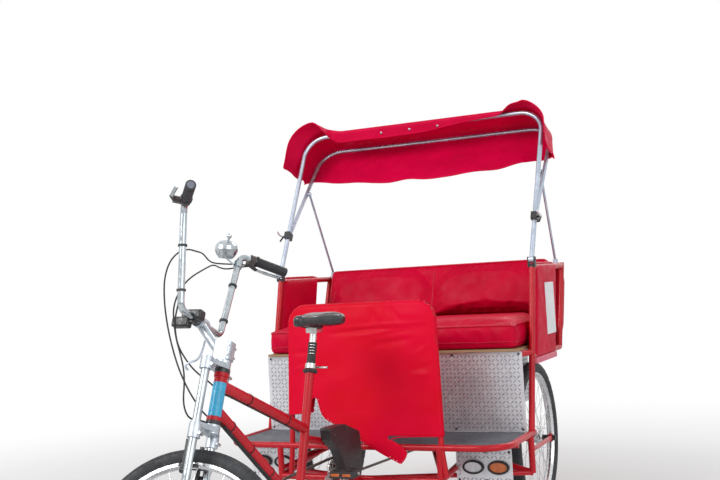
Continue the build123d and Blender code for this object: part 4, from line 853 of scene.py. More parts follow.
def rounded_corner(x, z, dx):
    """Points of the quarter circle at a top corner, from the side up to the top."""
    centre = (x - dx * APRON_ROUND, z - APRON_ROUND)
    angles = [math.radians(step * 90 / 8) for step in range(9)]
    return [(centre[0] + dx * APRON_ROUND * math.cos(a), centre[1] + APRON_ROUND * math.sin(a))
            for a in angles]


top_right = rounded_corner(APRON_RIGHT, APRON_TOP, -1)
top_left = rounded_corner(apron_left(APRON_TOP), APRON_TOP, 1)
edge_line = [(APRON_RIGHT, 548.0)] + top_right + top_left[::-1] + [(apron_left(APRON_FOOT), APRON_FOOT)]
apron_outline = edge_line + FRONT_HEM[:-1]


def to_line(point, start, end):
    """Nearest point of a straight piece, and its distance."""
    run = (end[0] - start[0], end[1] - start[1])
    share = ((point[0] - start[0]) * run[0] + (point[1] - start[1]) * run[1]) / (run[0] ** 2 + run[1] ** 2)
    share = min(1.0, max(0.0, share))
    near = (start[0] + run[0] * share, start[1] + run[1] * share)
    return math.hypot(point[0] - near[0], point[1] - near[1]), near


def inside(point, outline):
    """True where a point lies within a closed outline."""
    found = False
    for (x0, z0), (x1, z1) in zip(outline, outline[1:] + outline[:1]):
        if (z0 > point[1]) != (z1 > point[1]) and point[0] < (x1 - x0) * (point[1] - z0) / (z1 - z0) + x0:
            found = not found
    return found


def crease(x, z, start, end, height, width):
    """Height of one soft crease at a point of the cover."""
    distance, near = to_line((x, z), start, end)
    length = math.hypot(end[0] - start[0], end[1] - start[1])
    along = math.hypot(near[0] - start[0], near[1] - start[1]) / length
    fade = math.sin(math.pi * min(1.0, max(0.0, along)))
    return height * fade * math.exp(-(distance / width) ** 2)


CREASES = [  # start, end, height and width
    ((-130, 884), (350, 902), 5.0, 7.0),
    ((-120, 868), (210, 892), -5.0, 9.0),
    ((-40, 850), (190, 872), 4.5, 8.0),
    ((30, 838), (270, 856), 4.0, 9.0),
    ((60, 812), (260, 842), -4.5, 12.0),
    ((250, 700), (352, 704), 5.0, 7.0),
    ((230, 716), (352, 742), -4.0, 9.0),
    ((-280, 720), (-200, 742), 4.0, 9.0),
    ((-290, 790), (-190, 800), -4.0, 10.0),
    ((60, 975), (100, 905), -4.5, 12.0),
    ((110, 975), (120, 900), 4.5, 12.0),
    ((150, 980), (200, 905), -5.0, 11.0),
    ((-90, 978), (-60, 900), 3.5, 12.0),
    ((250, 770), (330, 820), 3.5, 10.0),
    ((-180, 660), (60, 700), 2.5, 24.0),
]

# %% Height of the sleeve's back hem


BACK_HEM = 472.0

# %% Apron sheet
apron_lines = list(zip(apron_outline, apron_outline[1:] + apron_outline[:1]))
edge_lines = list(zip(edge_line, edge_line[1:]))
apron = bmesh.new()
across_count = round((apron_left(APRON_FOOT) - APRON_RIGHT) / APRON_CELL)
down_count = round((APRON_TOP - APRON_POINT) / APRON_CELL)
bmesh.ops.create_grid(apron, x_segments=across_count, y_segments=down_count, size=0.5)
outside = set()
flat_place = {}
for vert in apron.verts:
    x = APRON_RIGHT + (vert.co.x + 0.5) * (apron_left(APRON_FOOT) - APRON_RIGHT)
    z = APRON_POINT + (vert.co.y + 0.5) * (APRON_TOP - APRON_POINT)
    distance, near = min((to_line((x, z), *line) for line in apron_lines), key=lambda row: row[0])
    if distance < APRON_CELL * 0.52:
        x, z = near
    elif not inside((x, z), apron_outline):
        outside.add(vert)
    flat_place[vert] = (x, z)
bmesh.ops.delete(apron, geom=[f for f in apron.faces if any(v in outside for v in f.verts)], context="FACES")
bmesh.ops.delete(apron, geom=[v for v in apron.verts if not v.link_faces], context="VERTS")
for vert in apron.verts:
    x, z = flat_place[vert]
    to_edge = min(to_line((x, z), *line)[0] for line in edge_lines)
    share = min(1.0, to_edge / APRON_GAP)
    stand = APRON_GAP * math.sqrt(1 - (1 - share) ** 2)
    loose = smooth_step(4.0, 60.0, to_edge)
    folds = sum(crease(x, z, *row) for row in CREASES) * loose
    swell = APRON_SWELL * loose * math.sin(math.pi * (x - APRON_RIGHT) / APRON_SPAN)
    fine = 2.4 * loose * noise.noise(Vector((x * 0.011, z * 0.019, 0.4)))
    vert.co = spot(x, apron_y(z) - stand - swell - folds - fine, z)
back = bmesh.new()
join(back, apron)
back_low = spot(0, 0, BACK_HEM).z
bmesh.ops.delete(back, geom=[f for f in back.faces if f.calc_center_median().z < back_low], context="FACES")
for vert in back.verts:
    z = vert.co.z * 1000
    middle = spot(0, apron_y(z), 0).y
    depth = min(middle - vert.co.y, 0.015)
    vert.co.y = middle + depth
join(apron, back)
back.free()
bmesh.ops.remove_doubles(apron, verts=apron.verts, dist=0.0006)
bmesh.ops.delete(apron, geom=[v for v in apron.verts if not v.link_faces], context="VERTS")
bmesh.ops.recalc_face_normals(apron, faces=apron.faces)
apron_area = sum(face.calc_area() for face in apron.faces)
apron_sheet = piece("apron_vinyl", apron, apron_vinyl, "frame", ["apron_cover"], sharp=70, closed=False)
thicken(apron_sheet, 0.0016)
hem_line = [(apron_left(APRON_FOOT) - 8, APRON_FOOT)] + FRONT_HEM[:-1] + [(-296, 549)]
hem_places = []
for x, z in hem_line:
    swell = APRON_SWELL * math.sin(math.pi * (x - APRON_RIGHT) / APRON_SPAN)
    hem_places.append(spot(x, apron_y(z) - APRON_GAP - swell, z))
apron_hem = piece("apron_hem", soft_tube([hem_places], 0.0024), apron_vinyl, "frame", sharp=80)

# %% [markdown]
# ## Padded pieces
# A cushion is cut a little smaller than its place, closed, and filled. Here a rounded box is
# remeshed to even cells and blown up for a moment as cloth, with the cells along its seams held,
# so the panels crown between the seams as stuffing makes them. The movement is capped so that the
# pad stays in its own space. Seams and piping follow, laid on the finished surface.

# %% A filled pad


def rounded_box(low, high, width, segments=3):
    """A box in metres with rounded edges."""
    shape = bmesh.new()
    rounded_block(shape, low, high, width, segments)
    return shape


FILL_FRAMES = 20
FILLING = {
    "quality": 5, "mass": 0.3, "tension_stiffness": 15.0, "compression_stiffness": 15.0,
    "shear_stiffness": 5.0, "bending_stiffness": 0.6, "use_pressure": True, "shrink_min": -0.03,
    "vertex_group_mass": "held",
}


def filled(name, shape, cell, held, cap, pressure=4.0):
    """Remesh a closed shape and fill it with a short cloth simulation; returns a bmesh."""
    data = bpy.data.meshes.new(name)
    shape.to_mesh(data)
    shape.free()
    holder = bpy.data.objects.new(name, data)
    bpy.context.collection.objects.link(holder)
    cells = holder.modifiers.new("cells", "REMESH")
    cells.mode = "VOXEL"
    cells.voxel_size = cell
    bpy.context.view_layer.update()
    even = bpy.data.meshes.new_from_object(holder.evaluated_get(bpy.context.evaluated_depsgraph_get()))
    holder.modifiers.clear()
    holder.data = even
    start = [vert.co.copy() for vert in even.vertices]
    pins = holder.vertex_groups.new(name="held")
    for i, place in enumerate(start):
        weight = held(place)
        if weight > 0:
            pins.add([i], weight, "REPLACE")
    cloth = holder.modifiers.new("filling", "CLOTH")
    for setting, value in FILLING.items():
        setattr(cloth.settings, setting, value)
    cloth.settings.uniform_pressure_force = pressure
    cloth.settings.effector_weights.gravity = 0.0
    cloth.collision_settings.use_collision = False
    cloth.point_cache.frame_start = 1
    cloth.point_cache.frame_end = FILL_FRAMES
    for number in range(1, FILL_FRAMES + 1):
        bpy.context.scene.frame_set(number)
    full = bpy.data.meshes.new_from_object(holder.evaluated_get(bpy.context.evaluated_depsgraph_get()))
    for vert, place in zip(full.vertices, start):
        move = vert.co - place
        if move.length > cap:
            vert.co = place + move * (cap / move.length)
    holder.modifiers.clear()
    bpy.context.scene.frame_set(1)
    even = full
    result = bmesh.new()
    result.from_mesh(even)
    bpy.data.objects.remove(holder)
    bmesh.ops.smooth_vert(result, verts=result.verts, factor=0.5, use_axis_x=True, use_axis_y=True,
                          use_axis_z=True)
    return result


def seam_route(surface, route, spacing=0.02, lift=0.0, straight=None):
    """Points along a route, moved to the nearest point of a surface or straight along a direction."""
    tree = BVHTree.FromBMesh(surface)
    places = []
    for start, end in zip(route, route[1:]):
        count = max(1, round((end - start).length / spacing))
        for step in range(count):
            wanted = start.lerp(end, step / count)
            if straight is None:
                found, normal, _, _ = tree.find_nearest(wanted)
            else:
                found, normal, _, _ = tree.ray_cast(wanted, straight)
            places.append(found + normal * lift)
    return places


def near_lines(lines, width):
    """A holding weight that is 1 within 0.6 of a width of the given straight lines and 0 beyond."""
    def weight(place):
        best = 1.0
        for start, end in lines:
            run = end - start
            share = min(1.0, max(0.0, (place - start).dot(run) / run.length_squared))
            best = min(best, (place - start - run * share).length / width)
        return 1.0 if best < 0.6 else 0.0
    return weight


# %% [markdown]
# ## Bench cushion
# The bench cushion is a boxed cushion: a top panel and a front band sewn with piping, and a second
# seam near its foot. It lies flat on its board.

# %% Bench cushion
SEAT_LOW = spot(-568, -459, 766.5)
SEAT_HIGH = spot(568, 84, 868)
seat_box = rounded_box(SEAT_LOW, SEAT_HIGH, 0.018)


def seat_corners(z, grow=0.0):
    """The four corners of the cushion at a height, in order."""
    x_low, x_high = SEAT_LOW.x - grow, SEAT_HIGH.x + grow
    y_low, y_high = SEAT_LOW.y - grow, SEAT_HIGH.y + grow
    return [Vector((x_low, y_low, z)), Vector((x_high, y_low, z)), Vector((x_high, y_high, z)),
            Vector((x_low, y_high, z)), Vector((x_low, y_low, z))]


seat_top_route = seat_corners(SEAT_HIGH.z - 0.004)
seat_top_lines = list(zip(seat_top_route, seat_top_route[1:]))
seat_edge = near_lines(seat_top_lines, 0.016)
middle_seam = [(Vector((0.0, SEAT_LOW.y, SEAT_HIGH.z)), Vector((0.0, SEAT_HIGH.y, SEAT_HIGH.z)))]
seat_middle = near_lines(middle_seam, 0.010)


def seat_held(place):
    """Hold the piped edge, the middle seam and the underside."""
    if place.z < SEAT_LOW.z + 0.004:
        return 1.0
    return max(seat_edge(place), seat_middle(place))


seat = filled("bench_cushion", seat_box, 0.0095, seat_held, 0.024)
seat_piping_route = seam_route(seat, seat_corners(SEAT_HIGH.z - 0.001, 0.004), 0.03, 0.0012)
seat_low_route = seam_route(seat, seat_corners(SEAT_LOW.z + 0.022, 0.03), 0.03, 0.0004)
seat_mid_route = seam_route(seat, [middle_seam[0][0] + Vector((0, 0, 0.03)),
                                   middle_seam[0][1] + Vector((0, 0, 0.03))], 0.03, 0.0, Vector((0, 0, -1)))
seat_cushion = piece("bench_cushion", seat, vinyl, "frame", ["seat_cushion"], sharp=180, closed=False)
subdivide(seat_cushion, "crown", 1)
seat_cords = soft_tube([seat_piping_route], 0.0048, closed=True)
join(seat_cords, soft_tube([seat_low_route], 0.0022, closed=True))
join(seat_cords, soft_tube([seat_mid_route], 0.0030))
piece("bench_piping", seat_cords, piping, "frame", sharp=80)
print("bench cushion faces", len(seat_cushion.data.polygons))

# %% [markdown]
# ## Back pad
# The back pad leans on the back frame. It is filled the same way, upright, and then leaned back.

# %% Back pad
BACK_LEAN = math.atan2(BACK_TOP[0] - BACK_FOOT[0], BACK_TOP[1] - BACK_FOOT[1])
BACK_PLACE = Matrix.Translation(spot(0, 176.2 - 14.2 - 34, 881.0)) @ Matrix.Rotation(-BACK_LEAN, 4, "X")
BACK_HALF_X = 0.556
BACK_HEIGHT = 0.256
BACK_HALF_Y = 0.029
pad_low = Vector((-BACK_HALF_X, -BACK_HALF_Y, 0.006))
pad_high = Vector((BACK_HALF_X, BACK_HALF_Y, BACK_HEIGHT))
back_pad = rounded_box(pad_low, pad_high, 0.016)
back_route = [Vector((x, -BACK_HALF_Y, z)) for x, z in
              ((-BACK_HALF_X, 0.01), (-BACK_HALF_X, BACK_HEIGHT - 0.004),
               (BACK_HALF_X, BACK_HEIGHT - 0.004), (BACK_HALF_X, 0.01))]
back_edge = near_lines(list(zip(back_route, back_route[1:])), 0.014)
back_middle = near_lines([(Vector((0, -BACK_HALF_Y, 0)), Vector((0, -BACK_HALF_Y, BACK_HEIGHT)))], 0.010)


def back_held(place):
    """Hold the piped edge, the middle seam and the side that leans on the frame."""
    if place.y > BACK_HALF_Y - 0.004:
        return 1.0
    return max(back_edge(place), back_middle(place))


back_fill = filled("back_pad", back_pad, 0.0075, back_held, 0.022)
back_seams = soft_tube([seam_route(back_fill, back_route, 0.03, 0.001)], 0.0046)
back_middle_line = [Vector((0, -0.06, 0.012)), Vector((0, -0.06, BACK_HEIGHT - 0.004))]
back_middle_route = seam_route(back_fill, back_middle_line, 0.03, 0.0, Vector((0, 1, 0)))
join(back_seams, soft_tube([back_middle_route], 0.0030))
bmesh.ops.transform(back_fill, matrix=BACK_PLACE, verts=back_fill.verts)
bmesh.ops.transform(back_seams, matrix=BACK_PLACE, verts=back_seams.verts)
back_cushion = piece("back_pad", back_fill, vinyl, "frame", ["seat_back"], sharp=180, closed=False)
subdivide(back_cushion, "crown", 1)
piece("back_piping", back_seams, piping, "frame", sharp=80)
print("back pad", [round(v, 3) for v in back_cushion.dimensions])

# %% [markdown]
# ## Side panels and outer back
# The side panels are thin padded sleeves over the arm rails, and the outer back is one long pad.
# Two grids, one for each face, are moved to the pad's leaning outline, crowned a little between
# its seams, and joined at their edges; piping follows the edge. A faded flange lies below each
# side panel.

# %% Side panels
FLANGE_HALF = 17.5
FLANGE_FOOT = 692.0
FLANGE_TOP = 716.0


def post_y(z):
    """Y of the leaning front post at a height."""
    share = (z - POST_FOOT[1]) / (POST_TOP[1] - POST_FOOT[1])
    return POST_FOOT[0] + (POST_TOP[0] - POST_FOOT[0]) * share


def padded_sheet(half, place_of, columns, rows, crown):
    """A closed thin pad: place_of(u, v, w) gives a place for u, v from 0 to 1 and w from -1 to 1."""
    shape = bmesh.new()
    for side in (-1, 1):
        made = bmesh.ops.create_grid(shape, x_segments=columns, y_segments=rows, size=0.5)
        for vert in made["verts"]:
            u, v = vert.co.x + 0.5, vert.co.y + 0.5
            edge = min(u * columns, (1 - u) * columns, v * rows, (1 - v) * rows)
            thick = half * math.sqrt(1 - (1 - min(1.0, edge / 2.0)) ** 2)
            swell = 0
            if 0 < u < 1 and 0 < v < 1:
                swell = crown * (math.sin(math.pi * u) * math.sin(math.pi * v)) ** 0.5
            vert.co = place_of(u, v, side * (thick + swell))
    bmesh.ops.remove_doubles(shape, verts=shape.verts, dist=0.0002)
    bmesh.ops.recalc_face_normals(shape, faces=shape.faces)
    return shape


QUARTERS = (0, 0.25, 0.5, 0.75)
PANEL_ROUND = [(0, v) for v in QUARTERS] + [(u, 1) for u in QUARTERS]
PANEL_ROUND += [(1, 1 - v) for v in QUARTERS] + [(1 - u, 0) for u in QUARTERS]
for side, sign in (("left", 1.0), ("right", -1.0)):
    def panel_place(u, v, w, sign=sign):
        """Side panel: u from front to back, v from foot to top, w outward in metres."""
        z = PANEL_LOW + (PANEL_TOP - PANEL_LOW) * v
        front = post_y(z) + 15.0
        rear = 5.0 + 100.0 * v
        wrinkle = 1.6 * noise.noise(Vector((u * 5.0, v * 9.0, sign * 2.0)))
        out = POST_X + w * 1000 + wrinkle * (1 if w > 0 else 0.3)
        return spot(sign * out, front + (rear - front) * u, z)

    panel = padded_sheet(0.0145, panel_place, 26, 30, 0.0035)
    route = [panel_place(u, v, 0.0) for u, v in PANEL_ROUND]
    made = piece(f"side_pad_{side}", panel, vinyl, "frame", [f"side_panel_{side}"], sharp=180, closed=False)
    piece(f"side_piping_{side}", soft_tube([route], 0.0042, closed=True), piping, "frame", sharp=80)
    flange_low = spot(sign * POST_X - FLANGE_HALF, post_y(705) + 24, FLANGE_FOOT)
    flange = rounded_box(flange_low, spot(sign * POST_X + FLANGE_HALF, 2, FLANGE_TOP), 0.004)
    piece(f"side_flange_{side}", flange, pale_flange, "frame")

# %% Outer back
OUTER_HALF_X = 611.0
OUTER_FOOT = 729.0
OUTER_TOP = 1106.0
OUTER_GAP = 16.5


def back_place(u, v, w):
    """Outer back: u across, v up, w toward the back in metres."""
    z = OUTER_FOOT + (OUTER_TOP - OUTER_FOOT) * v
    share = (z - BACK_FOOT[1]) / (BACK_TOP[1] - BACK_FOOT[1])
    y = BACK_FOOT[0] + (BACK_TOP[0] - BACK_FOOT[0]) * share + OUTER_GAP
    wrinkle = 2.2 * noise.noise(Vector((u * 9.0, v * 5.0, 7.0)))
    return spot(OUTER_HALF_X * (2.0 * u - 1.0), y + w * 1000 + wrinkle * (1 if w > 0 else 0), z)


outer_back = padded_sheet(0.004, back_place, 90, 30, 0.0055)
outer_piece = piece("outer_back", outer_back, vinyl, "frame", ["back_panel"], sharp=180, closed=False)
back_edge_route = [back_place(u, v, 0.004) for u, v in
                   ((0, 0), (0, 0.5), (0, 1), (0.25, 1), (0.5, 1), (0.75, 1), (1, 1), (1, 0.5), (1, 0),
                    (0.75, 0), (0.5, 0), (0.25, 0))]
back_trim = soft_tube([back_edge_route], 0.0042, closed=True)
join(back_trim, soft_tube([[back_place(0.5, v / 6, 0.0075) for v in range(7)]], 0.0034))
piece("outer_back_piping", back_trim, piping, "frame", sharp=80)
print("side panels and outer back", round(outer_piece.dimensions.x, 3))

# %% [markdown]
# ## Saddle
# A padded saddle: two broad lobes behind that draw in to a narrow nose, with a seam round its
# skirt and two black rails that the post's clamp holds. Rings of its section are bridged from
# tail to nose, and a subdivision surface rounds them.

# %% Saddle top and rails
POST_HEAD_Z = 918.0
CLAMP_AHEAD = 122.0
SADDLE_BACK = BRACKET_PLACE[0] + (POST_HEAD_Z - BRACKET_PLACE[1]) * math.tan(SEAT_TILT) + CLAMP_AHEAD
SADDLE_TOP = 968.0
SADDLE_ROWS = [  # distance ahead of the tail, half width, top and skirt below the saddle's top
    (2, 40, -22, -34),
    (8, 64, -12, -42),
    (26, 82, -3, -47),
    (58, 86, 0, -49),
    (92, 78, -3, -47),
    (124, 56, -7, -43),
    (154, 34, -8, -41),
    (186, 27, -7, -40),
    (220, 23, -5, -40),
    (246, 19, -6, -38),
    (257, 11, -14, -34),
]
SADDLE_SIDES = 20
WIDER = 1.07
DEEPER = 9


def saddle_ring(shape, along, half, top, low):
    """One closed ring of the saddle's section."""
    made = bmesh.ops.create_circle(shape, cap_ends=False, radius=1.0, segments=SADDLE_SIDES)
    dip = 3.0 if 20 < along < 130 else 0.0
    for vert in made["verts"]:
        across, height = vert.co.x, vert.co.y
        x = math.copysign(abs(across) ** 0.8, across) * half
        middle = (top + low) / 2
        rise = (top - low) / 2
        z = middle + rise * (math.copysign(abs(height) ** (0.75 if height > 0 else 0.35), height))
        z -= dip * math.exp(-(x / 9.0) ** 2) * (1 if height > 0 else 0)
        vert.co = spot(x, SADDLE_BACK - along, SADDLE_TOP + z)
    return [edge for edge in shape.edges if all(v in made["verts"] for v in edge.verts)]


saddle = bmesh.new()
rings = [saddle_ring(saddle, along, half * WIDER, top, low - DEEPER) for along, half, top, low in SADDLE_ROWS]
for before, after in zip(rings, rings[1:]):
    bmesh.ops.bridge_loops(saddle, edges=before + after)
for ring in (rings[0], rings[-1]):
    bmesh.ops.contextual_create(saddle, geom=ring)
bmesh.ops.recalc_face_normals(saddle, faces=saddle.faces)
seat_top = piece("saddle_top", saddle, saddle_vinyl, "frame", ["saddle"], sharp=180, closed=False)
subdivide(seat_top, "round_off", 2)
skirt = []
for along, half, top, low in SADDLE_ROWS[1:-1]:
    skirt.append(spot(half, SADDLE_BACK - along, SADDLE_TOP + low + 3))
skirt += [spot(0, SADDLE_BACK - 259, SADDLE_TOP - 26)]
for along, half, top, low in SADDLE_ROWS[-2:0:-1]:
    skirt.append(spot(-half, SADDLE_BACK - along, SADDLE_TOP + low + 3))
piece("saddle_skirt_seam", soft_tube([skirt], 0.0022), black_rubber, "frame", sharp=80)
rails = []
for x in (-1.0, 1.0):
    rails.append([spot(x * 34, SADDLE_BACK - 42, 932), spot(x * 32, SADDLE_BACK - 62, 922),
                  spot(x * 21, SADDLE_BACK - 96, 914), spot(x * 21, SADDLE_BACK - 150, 914),
                  spot(x * 16, SADDLE_BACK - 196, 920), spot(x * 9, SADDLE_BACK - 234, 934)])
saddle_frame = soft_tube(rails, 0.0036)
clamp_place = spot(0, SADDLE_BACK - CLAMP_AHEAD, POST_HEAD_Z - 5)
rounded_block(saddle_frame, clamp_place - mm(27, 20, 7), clamp_place + mm(27, 20, 9), 0.004)
piece("saddle_rails", saddle_frame, black_paint, "frame")
print("saddle", [round(v, 3) for v in seat_top.dimensions])

# %% [markdown]
# ## Tread plate, bolts and lamps
# The seat box and the panels under the deck are tread plate: short raised bars in two directions,
# in a regular pattern. One bar is made and repeated over each sheet's face; the bars take a darker
# alloy, which is painted shade for their relief. Small domed bolts hold the sheets, and the lamps
# get flat oval lenses in their black bezels.

# %% Raised bars of the tread plate
FRONT_FACE = ((-586, 432), (586, 752))
SIDE_FACE = ((-440, 492), (103, 727))
TAIL_FACE = ((-428, 587), (428, 721))
VALANCE_ACROSS = (354, 576)
VALANCE_UP = (264, 394)
LAMP_CLEAR = (50, 34)
TAIL_LAMP_CLEAR = (66, 40)
tread_bar = bmesh.new()
disc(tread_bar, Matrix.Diagonal((1.0, 0.27, 1.0, 1.0)), 0.0094, 0.0012, segments=8, top=0.0066)


def tread_rows(low, high, step=17.0, margin=9.0):
    """Offsets across and up a face, with a turn of 45 degrees one way and then the other."""
    columns = int((high[0] - low[0] - 2 * margin) // step)
    rows = int((high[1] - low[1] - 2 * margin) // step)
    left = (low[0] + high[0] - columns * step) / 2
    foot = (low[1] + high[1] - rows * step) / 2
    for column in range(columns + 1):
        for row in range(rows + 1):
            yield left + column * step, foot + row * step, 45.0 if (column + row) % 2 else -45.0


def face_place(across, up, turn, y=None, x=None, outward=1.0):
    """A bar's place on a sheet that faces along Y, or along X."""
    if y is not None:
        place, axis = spot(across, y, up), "X"
    else:
        place, axis = spot(x, across, up), "Y"
    facing = Matrix.Rotation(math.radians(90.0 * outward), 4, axis)
    return Matrix.Translation(place) @ facing @ Matrix.Rotation(math.radians(turn), 4, "Z")


front_y = BOX_FRONT_Y - PROUD
bar_places = [face_place(a, b, t, y=front_y) for a, b, t in tread_rows(*FRONT_FACE)]
for side in (-1, 1):
    inner, outer = sorted(side * x for x in VALANCE_ACROSS)
    for a, b, t in tread_rows((inner, VALANCE_UP[0]), (outer, VALANCE_UP[1])):
        to_lamps = min(abs(abs(a) - INNER_LAMP_X), abs(abs(a) - OUTER_LAMP_X))
        if to_lamps > LAMP_CLEAR[0] or abs(b - LAMP_Z) > LAMP_CLEAR[1]:
            bar_places.append(face_place(a, b, t, y=VALANCE_Y - PROUD))
    side_x = side * (BOX_SIDE_X + PROUD)
    bar_places += [face_place(a, b, t, x=side_x) for a, b, t in tread_rows(*SIDE_FACE)]
for a, b, t in tread_rows(*TAIL_FACE):
    if abs(abs(a) - TAIL_LAMP_X) > TAIL_LAMP_CLEAR[0] or abs(b - TAIL_LAMP_Z) > TAIL_LAMP_CLEAR[1]:
        bar_places.append(face_place(a, b, t, y=TAIL_PLATE_Y + PROUD, outward=-1.0))
# The bars are darker than the plate, as painted shade for their relief.
piece("tread_bars", repeat(tread_bar, bar_places), tread_bar_shade, "frame")
print("tread bars", len(bar_places))

# %% Sheet bolts and case screws
BOLT_PROUD = 0.2
bolt = turned_ring([(0.0005, 0.0030), (0.0026, 0.0027), (0.0046, 0.0014), (0.0054, 0.0), (0.0054, -0.002),
                    (0.0005, -0.002)], steps=12)
bolt_places = []
for x in (-574, -290, 0, 290, 574):
    for z in (441, 744):
        bolt_places.append(toward(spot(x, BOX_FRONT_Y - BOLT_PROUD, z), Vector((0, -1, 0))))
for side in (-1, 1):
    for x in (362, 473, 568):
        for z in (274, 384):
            bolt_places.append(toward(spot(side * x, VALANCE_Y - BOLT_PROUD, z), Vector((0, -1, 0))))
for x in (-418, -140, 140, 418):
    for z in (597, 711):
        bolt_places.append(toward(spot(x, TAIL_PLATE_Y, z), Vector((0, 1, 0))))
for y, z in ((-1105, 520), (-1060, 470), (-1005, 360), (-900, 350), (-890, 480), (-1000, 530)):
    bolt_places.append(toward(spot(57.2, y, z), Vector((1, 0, 0))))
piece("sheet_bolts", repeat(bolt, bolt_places), black_paint, "frame")

# %% Lamp lenses
LENS_HALF_X = 35.5
LENS_HALF_Z = 19.5
LENS_THICKNESS = 1.5
LENS_SET_BACK = 5.5


def flat_lens(centre_x, centre_y):
    """A flat oval lens that faces the front, closed behind; its flutes are in the material."""
    shape = bmesh.new()
    bmesh.ops.create_circle(shape, cap_ends=True, radius=1.0, segments=48)
    for vert in shape.verts:
        x, z = vert.co.x, vert.co.y
        vert.co = spot(centre_x + x * LENS_HALF_X, centre_y, LAMP_Z + z * LENS_HALF_Z)
    back = bmesh.ops.extrude_face_region(shape, geom=list(shape.faces))
    for item in back["geom"]:
        if isinstance(item, bmesh.types.BMVert):
            item.co.y = spot(0, centre_y + LENS_THICKNESS, 0).y
    bmesh.ops.recalc_face_normals(shape, faces=shape.faces)
    return shape


bezel_face = (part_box("clear_lamps")[0][1] - REAR_AXLE_Y) * 1000
lens_y = bezel_face + LENS_SET_BACK
clear = flat_lens(-INNER_LAMP_X, lens_y)
join(clear, flat_lens(INNER_LAMP_X, lens_y))
piece("clear_lenses", clear, clear_lens, "frame", closed=False)
piece("amber_lens_left", flat_lens(OUTER_LAMP_X, lens_y), amber_lens, "frame", closed=False)
piece("red_lens_right", flat_lens(-OUTER_LAMP_X, lens_y), red_lens, "frame", closed=False)
oval = [math.radians(step * 15) for step in range(24)]
tail_routes = []
for side in (-1, 1):
    tail_routes.append([spot(side * TAIL_LAMP_X + 53 * math.cos(a), 136, TAIL_LAMP_Z + 28 * math.sin(a))
                        for a in oval])
tail_rings = soft_tube(tail_routes, 0.0036, closed=True)
piece("tail_lamp_rings", tail_rings, chrome, "frame", sharp=80)
print("lamp face at", round(bezel_face, 1))

# %% [markdown]
# ## Handlebar ends and head tube
# Ribbed rubber grips with pale end plugs take the place of the plain sleeves. Polished blades lie
# over the levers, a blank blue band is wrapped round the head tube, and small lugs join the fork
# legs to their dropout plates.

# %% Grips, blades, band and lugs
GRIP_OUT = Vector((145.0, 107.0, -7.0)).normalized()
BAR_END = Vector((346.0, -15.0, 555.0))
LEVER_DISTANCE = 132.0


def grip_frame(side, distance):
    """Place on the bar at a distance in millimetres from one end, with z pointing out of the end."""
    out = Vector((side * GRIP_OUT.x, GRIP_OUT.y, GRIP_OUT.z))
    origin = Vector((side * BAR_END.x, BAR_END.y, BAR_END.z)) - out * distance
    up = (Vector((0, 0, 1)) - out * out.z).normalized()
    beside = out.cross(up)
    turn = Matrix((up, beside, out)).transposed().to_4x4()
    return BARS @ Matrix.Translation(origin * 0.001) @ turn


grip_outline = [(0.0113, 0.0035), (0.0152, 0.0035), (0.0166, 0.0020)]
for rib in range(22):
    height = -0.0050 * rib
    grip_outline += [(0.0166, height), (0.0166, height - 0.0032)]
    grip_outline += [(0.0154, height - 0.0036), (0.0154, height - 0.0046)]
grip_outline += [(0.0166, -0.1120), (0.0198, -0.1130), (0.0198, -0.1170)]
grip_outline += [(0.0180, -0.1178), (0.0113, -0.1178)]
ribbed = turned_ring(grip_outline, steps=28)
piece("ribbed_grips", repeat(ribbed, [grip_frame(side, 0.0) for side in (-1, 1)]), grip_rubber, "steering",
      ["grips"], sharp=50)
plug = turned_ring([(0.0004, 0.0052), (0.0070, 0.0048), (0.0106, 0.0040), (0.0126, 0.0030), (0.0126, -0.004),
                    (0.0004, -0.004)], steps=28)
piece("grip_plugs", repeat(plug, [grip_frame(side, 0.0) for side in (-1, 1)]), grip_end, "steering")
BLADE_POINTS = ((-4, 38, 4), (-9, 46, 38), (-11, 45, 70), (-11, 42, 100), (-10, 39, 130))
blade_routes = []
for side in (-1, 1):
    place = grip_frame(side, LEVER_DISTANCE)
    blade_routes.append([place @ mm(x, side * y, z) for x, y, z in BLADE_POINTS])
piece("lever_blades", soft_tube(blade_routes, 0.0064), chrome, "steering", sharp=80)
band = turned_ring([(0.0201, -0.062), (0.0206, -0.062), (0.0206, 0.044), (0.0201, 0.044)], steps=40)
piece("head_band", repeat(band, [HEAD]), blue_band, "frame")
axle_place = FORK.inverted() @ FRONT_WHEEL.translation
lugs = bmesh.new()
for side in (-1.0, 1.0):
    low = Vector((min(side * 0.053, side * 0.078), -0.036, axle_place.z + 0.004))
    high = Vector((max(side * 0.053, side * 0.078), -0.012, axle_place.z + 0.052))
    rounded_block(lugs, low, high, 0.004, place=FORK)
piece("dropout_lugs", lugs, chrome, "steering")
print("axle in the fork's frame", [round(v, 3) for v in axle_place])

# %% [markdown]
# ## Cables
# Two cables run from the bars to the down tube and one to the top tube. Each hangs in easy curves
# from its lever and bends where the steering turns, so each is one smooth tube that blends from
# the steering to the frame. The points are handlebar places in millimetres, and the last ones lead
# to the ends of the cables that lie along the frame.

